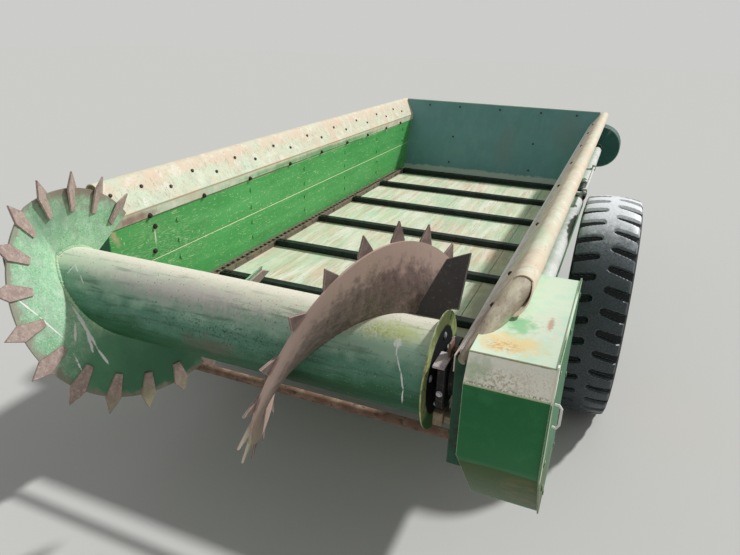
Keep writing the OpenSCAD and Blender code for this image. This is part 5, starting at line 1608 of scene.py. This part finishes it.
@dataclass(frozen=True)
class PhotoCamera:
    """The camera at the photograph's place, turned and framed as there.

    Attributes:
        place: Its place.
        yaw: Turn to the left in radians, below 0.
        pitch: Tilt down in radians.
        roll: Roll in radians.
        focal_px: Focal length in pixels.
        frame_px: Width of the picture in pixels.
        sensor_mm: Width of the sensor in millimetres.
    """

    place: Triple = (0.878, BEATER_Y - 1.2226, 1.585)
    yaw: float = -0.3902
    pitch: float = 0.3983
    roll: float = 0.0269
    focal_px: float = 600.0
    frame_px: float = 740.0
    sensor_mm: float = 36.0

    def build(self) -> None:
        """Makes the camera and sets it as the scene's."""
        data = bpy.data.cameras.new("photo_camera")
        data.sensor_width = self.sensor_mm
        data.lens = self.focal_px / self.frame_px * self.sensor_mm
        camera = bpy.data.objects.new("photo_camera", data)
        bpy.context.scene.collection.objects.link(camera)
        forward = Vector((math.sin(self.yaw) * math.cos(self.pitch),
                          math.cos(self.yaw) * math.cos(self.pitch), -math.sin(self.pitch)))
        right = Vector((math.cos(self.yaw), -math.sin(self.yaw), 0.0))
        up = right.cross(forward)
        axis_x = math.cos(self.roll) * right + math.sin(self.roll) * up
        axis_y = -math.sin(self.roll) * right + math.cos(self.roll) * up
        turn = Matrix((axis_x, axis_y, -forward)).transposed().to_4x4()
        camera.matrix_world = Matrix.Translation(self.place) @ turn
        bpy.context.scene.camera = camera


@dataclass(frozen=True)
class Stage:
    """A pale floor and soft light, brightest from the front right as in the photograph.

    Attributes:
        floor_size: Length of the floor's sides.
        floor_colour: Its sRGB hex colour.
        sun_strength: Strength of the lamp.
        sun_turn: Its turn about X, Y and Z in degrees.
        sun_spread: Angle in degrees over which it shines.
        sky_strength: Strength of the sky's light.
        far_level: Level at which the sky itself shows.
    """

    floor_size: float = 60.0
    floor_colour: str = "cacac7"
    sun_strength: float = 2.95
    sun_turn: Triple = (-35.3, 32.5, 0.0)
    sun_spread: float = 3.5
    sky_strength: float = 0.37
    far_level: float = 0.605

    def build(self) -> None:
        """Makes the floor, the lamp and the world."""
        plane = bpy.data.meshes.new("floor")
        half = self.floor_size / 2
        plane.from_pydata([(-half, -half, 0), (half, -half, 0), (half, half, 0), (-half, half, 0)], [],
                          [(0, 1, 2, 3)])
        floor = bpy.data.objects.new("floor", plane)
        bpy.context.scene.collection.objects.link(floor)
        material = bpy.data.materials.new("studio_floor")
        material.use_nodes = True
        shader = material.node_tree.nodes["Principled BSDF"]
        shader.inputs["Base Color"].default_value = srgb(self.floor_colour)
        shader.inputs["Roughness"].default_value = 1.0
        shader.inputs["Specular IOR Level"].default_value = 0.0
        plane.materials.append(material)
        sun = bpy.data.lights.new("sun", "SUN")
        sun.energy = self.sun_strength
        sun.angle = math.radians(self.sun_spread)
        lamp = bpy.data.objects.new("sun", sun)
        lamp.rotation_euler = [math.radians(a) for a in self.sun_turn]
        bpy.context.scene.collection.objects.link(lamp)
        self.world()

    def world(self) -> None:
        """Makes an even sky whose far side looks like the floor."""
        world = bpy.data.worlds.new("studio")
        world.use_nodes = True
        nodes = Nodes(world.node_tree)
        sky = nodes.tree.nodes["Background"]
        sky.inputs["Color"].default_value = (1.0, 1.0, 1.0, 1.0)
        sky.inputs["Strength"].default_value = self.sky_strength
        far = nodes.get("ShaderNodeBackground", {"Color": (1.0, 1.0, 0.985, 1.0), "Strength": self.far_level})
        ray = nodes.add("ShaderNodeLightPath").outputs
        seen = nodes.calc("MAXIMUM", ray["Is Camera Ray"], ray["Is Glossy Ray"])
        seen = nodes.calc("MAXIMUM", seen, ray["Is Transmission Ray"])
        mixed = nodes.get("ShaderNodeMixShader", {0: seen, 1: sky.outputs[0], 2: far})
        nodes.tree.links.new(mixed, nodes.tree.nodes["World Output"].inputs["Surface"])
        bpy.context.scene.world = world


def main() -> None:
    """Builds the looks in order."""
    logging.basicConfig(level=logging.INFO, format="%(name)s: %(message)s")
    bpy.context.scene.view_settings.view_transform = "Standard"
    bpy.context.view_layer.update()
    PhotoCamera().build()
    Stage().build()
    shop = Workshop()
    for assembly in (Undercarriage(), LoadBox(), Apron(), Beater(), SideDrive(), Wheels()):
        assembly.build(shop)
        LOG.info("%s done", type(assembly).__name__)


if __name__ == "__main__":
    main()
